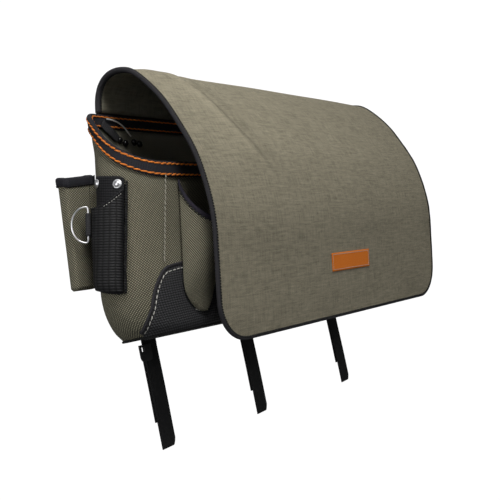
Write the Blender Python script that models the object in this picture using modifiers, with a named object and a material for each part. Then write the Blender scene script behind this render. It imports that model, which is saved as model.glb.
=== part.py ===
"""Hanging electrician's tool bag with an arched cover.

A long open-topped fabric bag hangs flat against a ladder or wall by its stiff
back panel.  An arched, stiffened cover is sewn along the top of the back panel
and swings up and back.  Bullet-shaped pockets run along the front, a flat
pocket sits at each end, and the left end carries a riveted webbing tool sheath
with a steel ring.  Three webbing straps hang below the back panel.

Frame: origin at the centre of the back panel's rear face, +X to the right of
someone facing the front of the bag, +Y out of the rear face, +Z up.
Lengths in the constants are millimetres.  Heights named "below the hinge" are
measured from the line that the cover turns about.
"""
import math

import bmesh
import bpy
from mathutils import Matrix, Vector

# --------------------------------------------------------------------------
# Driving dimensions (mm)
# --------------------------------------------------------------------------
MM = 0.001
GAP = 0.3                   # space kept between touching pieces
HINGE_Z = 145.0             # hinge line above the frame origin
HINGE_Y = -2.0

BACK_W = 594.0              # stiff back panel
BACK_TOP = -5.0             # heights below the hinge line
BACK_BOTTOM = -285.0
BACK_T = 3.0

END_X = 297.0               # where the straight walls meet the round ends
BAG_FRONT = -100.0          # front wall
BAG_BOTTOM = -288.0
WALL = 2.2
RIM_LINE = [(-102.0, -91.0), (-95.0, -87.0), (-87.0, -81.0), (-70.0, -67.0), (-51.0, -48.0),
            (-29.0, -20.0), (-8.0, -3.5), (0.0, -1.8)]   # rim height at each depth
RIM_BAND_H = 19.0
RIM_BAND_T = 1.8

COVER_HALF = 300.0
COVER_CORNER = 52.0
BIND_W = 6.0

STRAP_W = 25.0
STRAP_X = (-289.5, -89.0, 150.5)
STRAP_END = -422.0
STRAP_PIVOT = (-3.9, -292.5)

POCKET_X = (-262.0, -87.0, 87.0, 262.0)
POCKET_LEAN = 0.235         # an outermost pocket's foot leans out by this slope
POCKET_HALF = 31.0
POCKET_DEPTH = 29.0
POCKET_BOTTOM = -270.0

# --------------------------------------------------------------------------
# Scene and helpers
# --------------------------------------------------------------------------
for old in list(bpy.data.objects):
    bpy.data.objects.remove(old, do_unlink=True)

PARTS = bpy.data.collections.new("hanging_tool_bag")
bpy.context.scene.collection.children.link(PARTS)
CUTTERS = bpy.data.collections.new("cutters")
bpy.context.scene.collection.children.link(CUTTERS)

COLOURS = {
    "khaki": ((0.235, 0.215, 0.150), 0.85, 0.0),
    "khaki_cover": ((0.300, 0.275, 0.205), 0.85, 0.0),
    "lining": ((0.035, 0.032, 0.026), 0.90, 0.0),
    "black_webbing": ((0.012, 0.012, 0.013), 0.80, 0.0),
    "black_mesh": ((0.020, 0.020, 0.022), 0.70, 0.0),
    "black_plastic": ((0.010, 0.010, 0.010), 0.35, 0.0),
    "chrome": ((0.800, 0.800, 0.810), 0.18, 1.0),
    "orange": ((0.850, 0.160, 0.020), 0.70, 0.0),
    "board": ((0.060, 0.060, 0.062), 0.60, 0.0),
}


def material(name, slot):
    colour, rough, metal = COLOURS[slot]
    mat = bpy.data.materials.new(name + "_material")
    mat.use_nodes = True
    bsdf = mat.node_tree.nodes["Principled BSDF"]
    bsdf.inputs["Base Color"].default_value = (*colour, 1.0)
    bsdf.inputs["Roughness"].default_value = rough
    bsdf.inputs["Metallic"].default_value = metal
    return mat


def at(x, y, h):
    """A point from x, y and height below the hinge line, in metres."""
    return Vector((x * MM, y * MM, (h + HINGE_Z) * MM))


def finish(bm, name, slot, origin=None, smooth=40.0, recalc=True):
    """Turn a bmesh in world metres into a named part whose origin is origin."""
    if recalc:
        bmesh.ops.recalc_face_normals(bm, faces=bm.faces[:])
    mesh = bpy.data.meshes.new(name)
    if origin is not None:
        bmesh.ops.translate(bm, verts=bm.verts[:], vec=-origin)
    bm.to_mesh(mesh)
    bm.free()
    mesh.shade_smooth()
    mesh.set_sharp_from_angle(angle=math.radians(smooth))
    mesh.materials.append(material(name, slot))
    obj = bpy.data.objects.new(name, mesh)
    if origin is not None:
        obj.location = origin
    PARTS.objects.link(obj)
    return obj


def solidify(obj, thickness):
    mod = obj.modifiers.new("thickness", "SOLIDIFY")
    mod.thickness = thickness * MM
    mod.offset = 0.0
    mod.use_even_offset = True
    mod.use_quality_normals = True
    return obj


def cut(obj, cutter):
    cutter.hide_render = True
    cutter.display_type = "WIRE"
    for coll in list(cutter.users_collection):
        coll.objects.unlink(cutter)
    CUTTERS.objects.link(cutter)
    mod = obj.modifiers.new("cut_" + cutter.name, "BOOLEAN")
    mod.operation = "DIFFERENCE"
    mod.solver = "EXACT"
    mod.object = cutter
    return obj


def box(name, slot, low, high, origin=None, bevel=0.0, segments=2):
    bm = bmesh.new()
    bmesh.ops.create_cube(bm, size=1.0)
    low, high = at(*low), at(*high)
    size = high - low
    for vert in bm.verts:
        vert.co = Vector((vert.co.x * size.x, vert.co.y * size.y, vert.co.z * size.z)) + (low + high) / 2
    if bevel:
        bmesh.ops.bevel(bm, geom=bm.edges[:], offset=bevel * MM, segments=segments,
                        profile=0.5, affect="EDGES")
    return finish(bm, name, slot, origin)


def stack(rings, closed_loop=True, cap=True):
    """A bmesh through a list of rings with equal counts of points."""
    bm = bmesh.new()
    rows = [[bm.verts.new(p) for p in ring] for ring in rings]
    count = len(rows[0])
    last = count if closed_loop else count - 1
    for low, high in zip(rows, rows[1:]):
        for j in range(last):
            k = (j + 1) % count
            bm.faces.new((low[j], low[k], high[k], high[j]))
    if cap:
        bm.faces.new(list(reversed(rows[0])))
        bm.faces.new(rows[-1])
    return bm


def around(rings):
    """A closed loop of sections, such as a band that meets itself."""
    bm = bmesh.new()
    rows = [[bm.verts.new(p) for p in ring] for ring in rings]
    count = len(rows[0])
    for i, low in enumerate(rows):
        high = rows[(i + 1) % len(rows)]
        for j in range(count):
            k = (j + 1) % count
            bm.faces.new((low[j], low[k], high[k], high[j]))
    return bm


def sheet_grid(rows):
    """An open surface through rows of points."""
    return stack(rows, closed_loop=False, cap=False)


def wire(name, slot, points, radius, cyclic=False, origin=None, resolution=2):
    """A round wire along points in metres; capped when it isn't a loop."""
    data = bpy.data.curves.new(name, "CURVE")
    data.dimensions = "3D"
    data.bevel_depth = radius * MM
    data.bevel_resolution = resolution
    data.use_fill_caps = not cyclic
    spline = data.splines.new("POLY")
    spline.points.add(len(points) - 1)
    shift = origin if origin is not None else Vector((0, 0, 0))
    for point, place in zip(spline.points, points):
        point.co = (*(place - shift), 1.0)
    spline.use_cyclic_u = cyclic
    spline.use_smooth = True
    data.materials.append(material(name, slot))
    obj = bpy.data.objects.new(name, data)
    obj.location = shift
    PARTS.objects.link(obj)
    return obj


def spline_through(points, count):
    """Evenly spaced points on a Catmull-Rom curve through 2-D points."""
    dense = []
    pts = [Vector(p) for p in points]
    ext = [pts[0] * 2 - pts[1]] + pts + [pts[-1] * 2 - pts[-2]]
    for i in range(1, len(ext) - 2):
        p0, p1, p2, p3 = ext[i - 1], ext[i], ext[i + 1], ext[i + 2]
        for step in range(40):
            t = step / 40
            dense.append(0.5 * ((2 * p1) + (p2 - p0) * t + (2 * p0 - 5 * p1 + 4 * p2 - p3) * t * t
                                + (3 * p1 - p0 - 3 * p2 + p3) * t ** 3))
    dense.append(pts[-1])
    lengths = [0.0]
    for a, b in zip(dense, dense[1:]):
        lengths.append(lengths[-1] + (b - a).length)
    total = lengths[-1]
    out, k = [], 0
    for i in range(count):
        want = total * i / (count - 1)
        while k < len(lengths) - 2 and lengths[k + 1] < want:
            k += 1
        span = lengths[k + 1] - lengths[k] or 1.0
        out.append(dense[k].lerp(dense[k + 1], (want - lengths[k]) / span))
    return out, total


def table(rows, x):
    """Straight-line reading of a short table of (x, value)."""
    if x <= rows[0][0]:
        return rows[0][1]
    for (x0, v0), (x1, v1) in zip(rows, rows[1:]):
        if x <= x1:
            return v0 + (v1 - v0) * (x - x0) / (x1 - x0)
    return rows[-1][1]


# --------------------------------------------------------------------------
# Bag: a tub whose round ends swell downwards and whose rim slopes to the front
# --------------------------------------------------------------------------
SWELL = [(-288.0, 60.0), (-284.0, 71.0), (-277.0, 79.0), (-266.0, 86.0), (-250.0, 91.5),
         (-232.0, 92.5), (-210.0, 88.0), (-177.0, 79.5), (-118.0, 64.0), (-57.0, 51.0), (0.0, 46.0)]
Y_BACK = -(BACK_T + GAP)


def rim(y):
    return table(RIM_LINE, y)


END_ANGLES = (0, 10, 20, 30, 38, 46, 55, 66, 80, 95, 110, 125, 140, 155, 168, 180)


def outline(n_side=4):
    """(straight x, end factor, depth factor) around the plan, anticlockwise."""
    pts = []
    for i in range(n_side):
        pts.append((-END_X + 2 * END_X * i / n_side, 0.0, -1.0))
    for deg in END_ANGLES:
        a = math.radians(deg)
        pts.append((END_X, math.sin(a), -math.cos(a)))
    for i in range(1, n_side):
        pts.append((END_X - 2 * END_X * i / n_side, 0.0, 1.0))
    for deg in reversed(END_ANGLES[1:]):
        a = math.radians(deg)
        pts.append((-END_X, -math.sin(a), -math.cos(a)))
    return pts


OUT = outline()


def plan(entry, h, inset=0.0, corner=12.0):
    """A point of the bag's outside at height h, moved inwards by inset."""
    base, ex, ey = entry
    swell = table(SWELL, h) - inset
    lift = max(0.0, (BAG_BOTTOM + corner) - h)
    tuck = corner - math.sqrt(max(0.0, corner ** 2 - lift ** 2)) if lift else 0.0
    back = Y_BACK - inset
    front = BAG_FRONT + inset + tuck * 0.8
    mid, semi = (back + front) / 2, (back - front) / 2
    return base + swell * ex, mid + semi * ey, h


def wall_ring(t, inset, low, entries=OUT, drop=0.0):
    """A ring t of the way from height low to the band's foot; t over 1 is the rim."""
    ring = []
    for entry in entries:
        y = plan(entry, -150.0, inset)[1]
        shoulder = rim(y) - RIM_BAND_H      # one ring follows the band's lower edge
        h = low + (shoulder - low) * t if t <= 1.0 else rim(y) - drop
        ring.append(at(*plan(entry, h, inset)))
    return ring


LEVELS = (0.0, 0.02, 0.05, 0.10, 0.18, 0.30, 0.50, 0.75, 1.0, 2.0)
rings = [wall_ring(t, 0.0, BAG_BOTTOM, drop=1.6) for t in LEVELS]
rings += [wall_ring(t, WALL, BAG_BOTTOM + WALL, drop=1.6) for t in reversed(LEVELS)]
bag_shell = finish(stack(rings), "bag_shell", "khaki")

# Stiff rear board: its flat rear face lies against whatever the bag hangs on
box("back_panel", "board", (-BACK_W / 2, -BACK_T, BACK_BOTTOM), (BACK_W / 2, 0.0, BACK_TOP))

# Board that keeps the floor flat
FLOOR_LOW = BAG_BOTTOM + WALL + GAP
board_rings = []
for h, extra in ((FLOOR_LOW, 8.0), (FLOOR_LOW + 3.0, 8.0)):
    board_rings.append([at(*(plan(e, -285.0, WALL + extra)[:2] + (h,))) for e in OUT])
finish(stack(board_rings), "floor_board", "board")

# Rim band outside: round the front and both ends, open along the back panel
FRONT_RUN = [e for e in OUT if not (e[1] == 0.0 and e[2] > 0.5)]
start = next(i for i, e in enumerate(FRONT_RUN) if e[0] < 0 and e[1] < 0 and e[2] > 0.9)
FRONT_RUN = FRONT_RUN[start:] + FRONT_RUN[:start]
FRONT_RUN = [e for e in FRONT_RUN if not (abs(e[1]) < 0.35 and e[2] > 0.9)]


def band_section(entry, top, bottom, inner, outer):
    """Four corners of a strip on the wall; insets are negative outside."""
    y = plan(entry, -150.0, 0.0)[1]
    r = rim(y)
    return [at(*plan(entry, r - bottom, inner)), at(*plan(entry, r - top, inner)),
            at(*plan(entry, r - top, outer)), at(*plan(entry, r - bottom, outer))]


finish(stack([band_section(e, 0.0, RIM_BAND_H, -GAP, -GAP - RIM_BAND_T) for e in FRONT_RUN]),
       "rim_band_outer", "black_webbing")
finish(around([band_section(e, 0.6, RIM_BAND_H, WALL + 0.9, WALL + 2.5) for e in OUT]),
       "rim_band_inner", "black_webbing")

# Mesh base panel: over the lower front and the front of each round end
MESH_TOP = [(0.0, -211.0), (12.0, -211.5), (25.0, -214.0), (30.0, -219.0), (36.0, -231.0),
            (41.0, -244.0), (45.0, -257.0), (54.0, -269.0), (62.0, -277.0), (70.0, -281.0)]


MESH_GAP = 1.4               # clears the flats of the shell's swelling ends


def mesh_entries():
    out = []
    angles = (66, 55, 46, 38, 30, 20, 10)
    for a in angles:
        out.append(((-END_X, -math.sin(math.radians(a)), -math.cos(math.radians(a))), a))
    for i in range(5):
        out.append(((-END_X + END_X * i / 2, 0.0, -1.0), 0.0))
    for a in reversed(angles):
        out.append(((END_X, math.sin(math.radians(a)), -math.cos(math.radians(a))), a))
    return out


def mesh_section(entry, angle):
    top = table(MESH_TOP, angle)
    heights = [top + (BAG_BOTTOM + 1.0 - top) * t for t in (0.0, 0.35, 0.65, 0.85, 0.95, 1.0)]
    inner = [at(*plan(entry, h, -MESH_GAP)) for h in heights]
    outer = [at(*plan(entry, h, -MESH_GAP - 1.2)) for h in reversed(heights)]
    return inner + outer


finish(stack([mesh_section(e, a) for e, a in mesh_entries()]), "base_panel", "black_mesh")

# --------------------------------------------------------------------------
# Front pockets: bulged sheets, open at the top with a scooped lip
# --------------------------------------------------------------------------
POCKET_Y = BAG_FRONT - 2.9 - GAP


# How deep the pouch is at each height: it tapers to a flat foot
POUCH = [(-270.0, 0.03), (-258.0, 0.07), (-247.0, 0.15), (-237.0, 0.36), (-227.0, 0.66), (-214.0, 0.93), (-200.0, 1.0)]


def pouch(h):
    if h >= POUCH[-1][0]:
        return 1.0
    for (h0, f0), (h1, f1) in zip(POUCH, POUCH[1:]):
        if h <= h1:
            return f0 + (f1 - f0) * max(0.0, h - h0) / (h1 - h0)
    return 1.0


def pocket_lip(theta):
    return -112.0 - 52.0 * max(0.0, math.sin(theta)) ** 0.75


def pocket_point(xc, theta, t, top_drop=0.0, out=0.0):
    """t runs from the lip at 0 to the bottom at 1."""
    h = pocket_lip(theta) - top_drop
    h = h + (POCKET_BOTTOM - h) * t
    xc = xc + POCKET_LEAN * xc / 262.0 * (-125.0 - max(h, -245.0))
    u = max(0.0, (h - (POCKET_BOTTOM + 42.0)) / -42.0)
    round_off = math.sqrt(max(0.0, 1.0 - u ** 2))
    half = 3.0 + (POCKET_HALF - 3.0) * round_off + out
    depth = 2.5 + (POCKET_DEPTH - 2.5) * min(round_off, pouch(h)) + out
    return at(xc + half * math.cos(theta), POCKET_Y - depth * math.sin(theta), h)


def half_turn(n):
    return [math.pi * i / n for i in range(n + 1)]


LIP_H = 8.0
for index, xc in enumerate(POCKET_X, 1):
    rows = [[pocket_point(xc, th, t, LIP_H + 1.2) for th in half_turn(12)]
            for t in (0.0, 0.3, 0.5, 0.6, 0.7, 0.78, 0.85, 0.91, 0.96, 0.985, 1.0)]
    solidify(finish(sheet_grid(rows), "front_pocket_%d" % index, "khaki", recalc=False), 1.8)
    sections = []
    for th in half_turn(12):
        sections.append([pocket_point(xc, th, 0.0, drop, out)
                         for drop, out in ((LIP_H, -1.3), (0.0, -1.3), (0.0, 1.7), (LIP_H, 1.7))])
    finish(stack(sections), "front_pocket_binding_%d" % index, "black_webbing")

# --------------------------------------------------------------------------
# End pockets: flat pockets that stand out from the back corners
# --------------------------------------------------------------------------


def rounded_rect(x0, x1, y0, y1, r, n=3):
    pts = []
    for cx, cy, a0 in ((x1 - r, y1 - r, 0), (x0 + r, y1 - r, 90), (x0 + r, y0 + r, 180), (x1 - r, y0 + r, 270)):
        for i in range(n + 1):
            a = math.radians(a0 + 90 * i / n)
            pts.append((cx + r * math.cos(a), cy + r * math.sin(a)))
    return pts


SIDE_TOP, SIDE_LOW = -89.0, -219.0
SIDE_BAND = 10.0
SIDE_Y = (-22.5, -4.5)


def side_ring(side, h, inset):
    """The pocket leans out as it goes down and narrows to its floor."""
    t = (SIDE_TOP - h) / (SIDE_TOP - SIDE_LOW)
    x_out = -390.0 - 13.0 * t + inset
    x_in = -345.5 - 24.0 * t - inset
    thin = 2.0 * t
    ring = [at(x * side, y, h) for x, y in
            rounded_rect(x_out, x_in, SIDE_Y[0] + inset + thin, SIDE_Y[1] - inset - thin, max(1.0, 5.0 - inset))]
    return ring if side > 0 else ring[::-1]


for side, word in ((1, "left"), (-1, "right")):
    heights = (SIDE_LOW, SIDE_LOW + 40, SIDE_LOW + 85, SIDE_TOP)
    rings = [side_ring(side, h, 0.0) for h in heights]
    rings += [side_ring(side, max(h, SIDE_LOW + 1.6), 1.6) for h in reversed(heights)]
    finish(stack(rings), "side_pocket_" + word, "khaki")
    sections = []
    outer_low, outer_top = side_ring(side, SIDE_TOP - SIDE_BAND, -1.9), side_ring(side, SIDE_TOP + 1.0, -1.9)
    inner_low, inner_top = side_ring(side, SIDE_TOP - SIDE_BAND, -GAP), side_ring(side, SIDE_TOP + 1.0, -GAP)
    for four in zip(outer_low, outer_top, inner_top, inner_low):
        sections.append(list(four))
    finish(around(sections), "side_pocket_binding_" + word, "black_webbing")

# --------------------------------------------------------------------------
# Tool sheath, wrapped round the left end
# u runs across towards the front, v runs down, w stands out from the end
# --------------------------------------------------------------------------
SHEATH_W, SHEATH_L = 43.0, 136.0
SHEATH_H = -95.7                     # height of the middle of the top edge
SHEATH_ROOT = 1.3                    # the back plate's inner face off the bag
MID_Y, SEMI_Y = (Y_BACK + BAG_FRONT) / 2, (Y_BACK - BAG_FRONT) / 2


def sheath_spot(u, v):
    """Height, plan angle and outward direction on the bag's left end."""
    h = SHEATH_H - 0.985 * v - 0.284 * u
    k = v / SHEATH_L
    front, rear = 60.8 + 6.9 * k, 112.0 + 2.0 * k
    theta = math.radians((front + rear) / 2 - u / (SHEATH_W / 2) * (rear - front) / 2)
    swell = table(SWELL, h)
    out = Vector((-SEMI_Y * math.sin(theta), -swell * math.cos(theta), 0.0)).normalized()
    return h, theta, swell, out


def on_sheath(u, v, w):
    h, theta, swell, out = sheath_spot(u, v)
    off = SHEATH_ROOT + w
    return at(-END_X - swell * math.sin(theta) + out.x * off, MID_Y - SEMI_Y * math.cos(theta) + out.y * off, h)


def sheath_out(u, v):
    """Direction square to the sheath's surface, pointing out of the bag."""
    du = on_sheath(u + 2.0, v, 1.0) - on_sheath(u - 2.0, v, 1.0)
    dv = on_sheath(u, v + 4.0, 1.0) - on_sheath(u, v - 4.0, 1.0)
    n = du.cross(dv).normalized()
    return n if n.x < 0 else -n


def wrapped(name, u0, u1, v0, v1, radius, w, thickness, columns=11, spacing=8.5):
    """A strip of the sheath with rounded corners, wrapped round the end."""
    count = max(4, int((v1 - v0) / spacing))
    vs = [v0 + radius * k for k in (0.0, 0.13, 0.5)] if radius else [v0]
    vs += [v0 + radius + (v1 - v0 - 2 * radius) * i / count for i in range(count + 1)][0 if radius else 1:]
    if radius:
        vs += [v1 - radius * k for k in (0.5, 0.13, 0.0)]
    rows = []
    for v in vs:
        c = min(v - v0, v1 - v, radius)
        pull = radius - math.sqrt(max(0.0, radius ** 2 - (radius - c) ** 2)) if radius else 0.0
        lo, hi = u0 + pull, u1 - pull
        rows.append([on_sheath(lo + (hi - lo) * i / (columns - 1), v, w) for i in range(columns)])
    return solidify(finish(sheet_grid(rows), name, "black_webbing", recalc=False), thickness)


wrapped("sheath_backplate", -SHEATH_W / 2, SHEATH_W / 2, 0.0, SHEATH_L, 5.0, 1.0, 2.0)

# The sleeve: a front sheet over the back plate, bulged, with a scooped mouth
SLEEVE_TOP = (39.0, 17.0)            # mouth height at its rear and front edges


def sleeve_top(s):
    """Mouth line from the rear edge (s=-1) to the front edge (s=1)."""
    k = (s + 1) / 2
    return SLEEVE_TOP[0] + (SLEEVE_TOP[1] - SLEEVE_TOP[0]) * k ** 3


def sleeve_row(t, n=14):
    row = []
    for i in range(n + 1):
        s = -1 + 2 * i / n
        v = sleeve_top(s) + (SHEATH_L - 3.0 - sleeve_top(s)) * t
        low = 1 - 0.75 * t * max(0.0, -s) ** 0.7       # flatter towards the foot's rear edge
        bulge = 3.5 + 9.2 * max(0.0, 1 - abs(s) ** 4) ** 0.7 * low
        row.append(on_sheath(s * (SHEATH_W / 2 - 1.5), v, bulge))
    return row


solidify(finish(sheet_grid([sleeve_row(i / 12) for i in range(13)]),
                "sheath_sleeve", "black_webbing", recalc=False), 1.8)

# Edge welt down the sleeve's front edge
finish(stack([[on_sheath(u, 6.0 + (SHEATH_L - 8.0) * i / 12, w)
               for u, w in ((SHEATH_W / 2 + 0.5, 0.0), (SHEATH_W / 2 + 3.0, 0.0),
                            (SHEATH_W / 2 + 3.0, 4.5), (SHEATH_W / 2 + 0.5, 4.5))]
              for i in range(13)]), "sheath_welt", "black_webbing")


def turned(name, slot, place, axis, profile, steps=14):
    """A turned piece: profile of (radius, height) from its foot to its crown."""
    bm = bmesh.new()
    for r, z in profile:
        bm.verts.new((r * MM, 0.0, z * MM))
    bm.verts.ensure_lookup_table()
    for i in range(len(profile) - 1):
        bm.edges.new((bm.verts[i], bm.verts[i + 1]))
    bmesh.ops.spin(bm, geom=bm.verts[:] + bm.edges[:], axis=(0, 0, 1), cent=(0, 0, 0),
                   steps=steps, angle=2 * math.pi, use_merge=True)
    bmesh.ops.remove_doubles(bm, verts=bm.verts[:], dist=1e-7)
    bmesh.ops.holes_fill(bm, edges=[e for e in bm.edges if e.is_boundary], sides=0)
    turn = Vector((0, 0, 1)).rotation_difference(axis).to_matrix().to_4x4()
    bmesh.ops.transform(bm, matrix=Matrix.Translation(place) @ turn, verts=bm.verts[:])
    return finish(bm, name, slot)


RIVET = [(3.0, 0.0), (5.0, 0.0), (5.0, 0.7), (4.2, 1.9), (2.4, 2.8), (0.8, 3.1)]
for index, (u, v) in enumerate(((14.0, 9.5), (-16.0, 9.5)), 1):
    turned("sheath_rivet_%d" % index, "chrome", on_sheath(u, v, 2.0 + GAP), sheath_out(u, v), RIVET)

# Foot rivet and ring rivet sit on a narrow side flange behind the rear edge
FLANGE_U = -SHEATH_W / 2 - 2.9
wrapped("sheath_side_flange", FLANGE_U - 2.6, FLANGE_U + 2.4, 40.0, SHEATH_L - 2.0, 2.0, 1.0, 2.0, columns=3)
for index, v, wide, tall in ((3, SHEATH_L - 14.0, 0.5, 0.8), (4, 80.0, 0.44, 0.7)):
    turned("sheath_rivet_%d" % index, "chrome", on_sheath(FLANGE_U, v, 2.0 + GAP), sheath_out(FLANGE_U, v),
           [(r * wide, z * tall) for r, z in RIVET])

# Steel ring: a wire D whose straight side turns in a webbing loop on the
# sleeve's rear corner. across, down and out are the ring's own directions
RING_AT = at(-384.4, -37.4, -148.6)
RING_TILT, RING_LEAN = math.radians(9.8), math.radians(4.5)
_down = Vector((-math.sin(RING_TILT), 0.0, -math.cos(RING_TILT)))
_across = Vector((0.0, -1.0, 0.0))
R_OUT = Vector((-math.cos(RING_TILT), 0.0, math.sin(RING_TILT)))
R_ACROSS = (_across * math.cos(RING_LEAN) + _down * math.sin(RING_LEAN)).normalized()
R_DOWN = (_down * math.cos(RING_LEAN) - _across * math.sin(RING_LEAN)).normalized()
RING_HALF = 21.0
RING_REACH = 18.5
RING_SWING = math.radians(48.0)      # the ring stands out from the bag


def on_ring(u, v, w):
    return RING_AT + (R_ACROSS * u + R_DOWN * v + R_OUT * w) * MM


def ring_point(a):
    """Straight side in the loop, round side to the rear and outwards."""
    reach = RING_REACH * max(0.0, math.sin(a)) ** 0.85
    return on_ring(-reach * math.cos(RING_SWING), -RING_HALF * math.cos(a), reach * math.sin(RING_SWING))


ring_points = [ring_point(math.pi * i / 14) for i in range(15)]
ring_points += [on_ring(0.0, RING_HALF * k, 0.0) for k in (0.6, 0.2, -0.2, -0.6)]
wire("tool_ring", "chrome", ring_points, 1.25, cyclic=True, origin=RING_AT)

# Webbing loop that holds the ring's straight side: a sleeve with a bore
loop_sections = []
for v in (-9.0, 9.0):
    outer, inner = [], []
    for i in range(12):
        a = 2 * math.pi * i / 12
        outer.append(on_ring(3.1 * math.cos(a), v, 3.0 * math.sin(a)))
        inner.append(on_ring(1.75 * math.cos(a), v, 1.75 * math.sin(a)))
    loop_sections.append((outer, inner))
(out_low, in_low), (out_high, in_high) = loop_sections
finish(around([[a, b, c, d] for a, b, c, d in zip(out_low, out_high, in_high, in_low)]),
       "ring_loop", "black_webbing")

# --------------------------------------------------------------------------
# Tool clip inside the left end: a webbing tab, a wire bail and two snap heads
# --------------------------------------------------------------------------
INNER_Y = Y_BACK - WALL - 2.5 - GAP      # just off the face of the inner rim band
TAB_ROOT = at(-300.0, INNER_Y - 1.6, -14.0)
TAB_DIR = Vector((0.74, 0.0, -0.67)).normalized()
TAB_SIDE = Vector((0.67, 0.0, 0.74)).normalized()
TAB_L, TAB_W = 29.0, 11.0
tab_sections = []
for k, half in ((0.03, TAB_W / 2), (0.5, TAB_W / 2), (0.9, TAB_W / 2), (1.0, TAB_W / 2 - 2.5)):
    centre = TAB_ROOT + TAB_DIR * (TAB_L * MM * k)
    side = TAB_SIDE * (half * MM)
    deep = Vector((0.0, 0.9 * MM, 0.0))
    tab_sections.append([centre - side - deep, centre + side - deep, centre + side + deep, centre - side + deep])
finish(stack(tab_sections), "clip_tab", "black_webbing", origin=TAB_ROOT)

BAIL_A = at(-291.0, INNER_Y - 1.7, -9.0)
BAIL_DIR = Vector((0.86, 0.0, -0.51)).normalized()
BAIL_NORMAL = Vector((0.51, 0.0, 0.86)).normalized()
bail = []
for i in range(15):
    k = i / 14
    bail.append(BAIL_A + BAIL_DIR * (46.0 * MM * k) + BAIL_NORMAL * (5.5 * MM * math.sin(math.pi * k))
                + Vector((0.0, -0.4 * MM, 0.0)))
wire("clip_wire", "chrome", bail, 0.9, origin=BAIL_A)

SNAP = [(2.4, 0.0), (4.2, 0.0), (4.2, 1.2), (3.4, 2.8), (2.0, 3.8), (0.7, 4.2)]
for index, (x, h) in enumerate(((-272.0, -35.0), (-262.5, -38.5), (-246.0, -36.5), (-236.5, -38.5)), 1):
    turned("snap_head_%d" % index, "black_plastic", at(x, INNER_Y + 1.6, h), Vector((0, -1, 0)), SNAP, steps=12)

# --------------------------------------------------------------------------
# Straps below the back panel
# --------------------------------------------------------------------------
py, pz = STRAP_PIVOT
for index, xs in enumerate(STRAP_X, 1):
    pivot = at(xs, py, pz)
    box("strap_anchor_%d" % index, "black_webbing", (xs - STRAP_W / 2, py - 1.1, BAG_BOTTOM - 2.8),
        (xs + STRAP_W / 2, py + 1.1, BAG_BOTTOM - GAP))
    half = STRAP_W / 2
    flat = [(xs - half, pz - 0.7), (xs - half, STRAP_END - 1.5), (xs + half - 6.0, STRAP_END),
            (xs + half - 1.5, STRAP_END + 3.0), (xs + half, STRAP_END + 8.0), (xs + half, pz - 0.7)]
    finish(stack([[at(x, py - 0.85, h) for x, h in flat], [at(x, py + 0.85, h) for x, h in flat]]),
           "strap_%d" % index, "black_webbing", origin=pivot)
    box("hook_pad_%d" % index, "black_webbing", (xs - half - 2.0, py + 0.85 + GAP, STRAP_END + 32.0),
        (xs + half - 2.0, py + 0.85 + GAP + 1.3, pz - 14.0), origin=pivot)
    # Plastic tab with a slot, on the strap's left edge
    tab = box("strap_tab_%d" % index, "black_plastic", (xs - 21.0, py - 0.85 - GAP - 2.0, -315.0),
              (xs - 1.0, py - 0.85 - GAP, pz - 1.9), origin=pivot)
    slot = box("tab_slot_%d" % index, "black_plastic", (xs - 18.0, py - 8.0, -302.6),
               (xs - 12.8, py + 4.0, -297.4), origin=pivot)
    bm = bmesh.new()
    bm.from_mesh(tab.data)
    low_corner = [e for e in bm.edges if abs(e.verts[0].co.x - e.verts[1].co.x) < 1e-6
                  and abs(e.verts[0].co.z - e.verts[1].co.z) < 1e-6 and e.verts[0].co.z < -0.010]
    bmesh.ops.bevel(bm, geom=low_corner, offset=0.005, segments=2, profile=0.5, affect="EDGES")
    bm.to_mesh(tab.data)
    bm.free()
    cut(tab, slot)

# --------------------------------------------------------------------------
# Cover: an arched sheet of outer fabric, stiffener and lining, with a bound edge
# --------------------------------------------------------------------------
COVER_PROFILE = [(-2.0, 0.9), (-3.0, 8.5), (-5.6, 17.0), (-9.5, 26.0), (-15.5, 33.7), (-24.0, 39.8), (-34.5, 42.9),
                 (-46.0, 43.2), (-57.5, 40.6), (-73.0, 33.0), (-94.0, 10.5), (-113.0, -17.0), (-128.0, -49.0),
                 (-142.5, -87.0), (-149.5, -130.0), (-149.8, -172.0), (-141.0, -224.0), (-124.0, -314.0)]
STATIONS = 27
LINE, ARC = spline_through(COVER_PROFILE, STATIONS * 4 - 3)


def cover_at(s):
    """Point and outward normal at arc length s (mm) from the hinge edge."""
    k = min(max(s / ARC, 0.0), 1.0) * (len(LINE) - 1)
    i = min(int(k), len(LINE) - 2)
    p = LINE[i].lerp(LINE[i + 1], k - i)
    a, b = LINE[max(i - 1, 0)], LINE[min(i + 2, len(LINE) - 1)]
    tan = (b - a).normalized()
    return p, Vector((tan.y, -tan.x))


def cover_point(x, s, depth):
    """Depth runs inwards from the cover's outer surface."""
    p, n = cover_at(s)
    q = p - n * depth
    return at(x, q.x, q.y)


def half_width(s, margin):
    """Half width of the sheet at arc length s, inside the edge by margin."""
    end = ARC - margin
    radius = COVER_CORNER - margin
    into = s - (end - radius)
    if into <= 0:
        return COVER_HALF - margin
    return COVER_HALF - margin - radius + math.sqrt(max(0.0, radius ** 2 - min(into, radius) ** 2))


PIVOT = Vector((0.0, HINGE_Y * MM, HINGE_Z * MM))
MARGIN = BIND_W + 0.9


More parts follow.
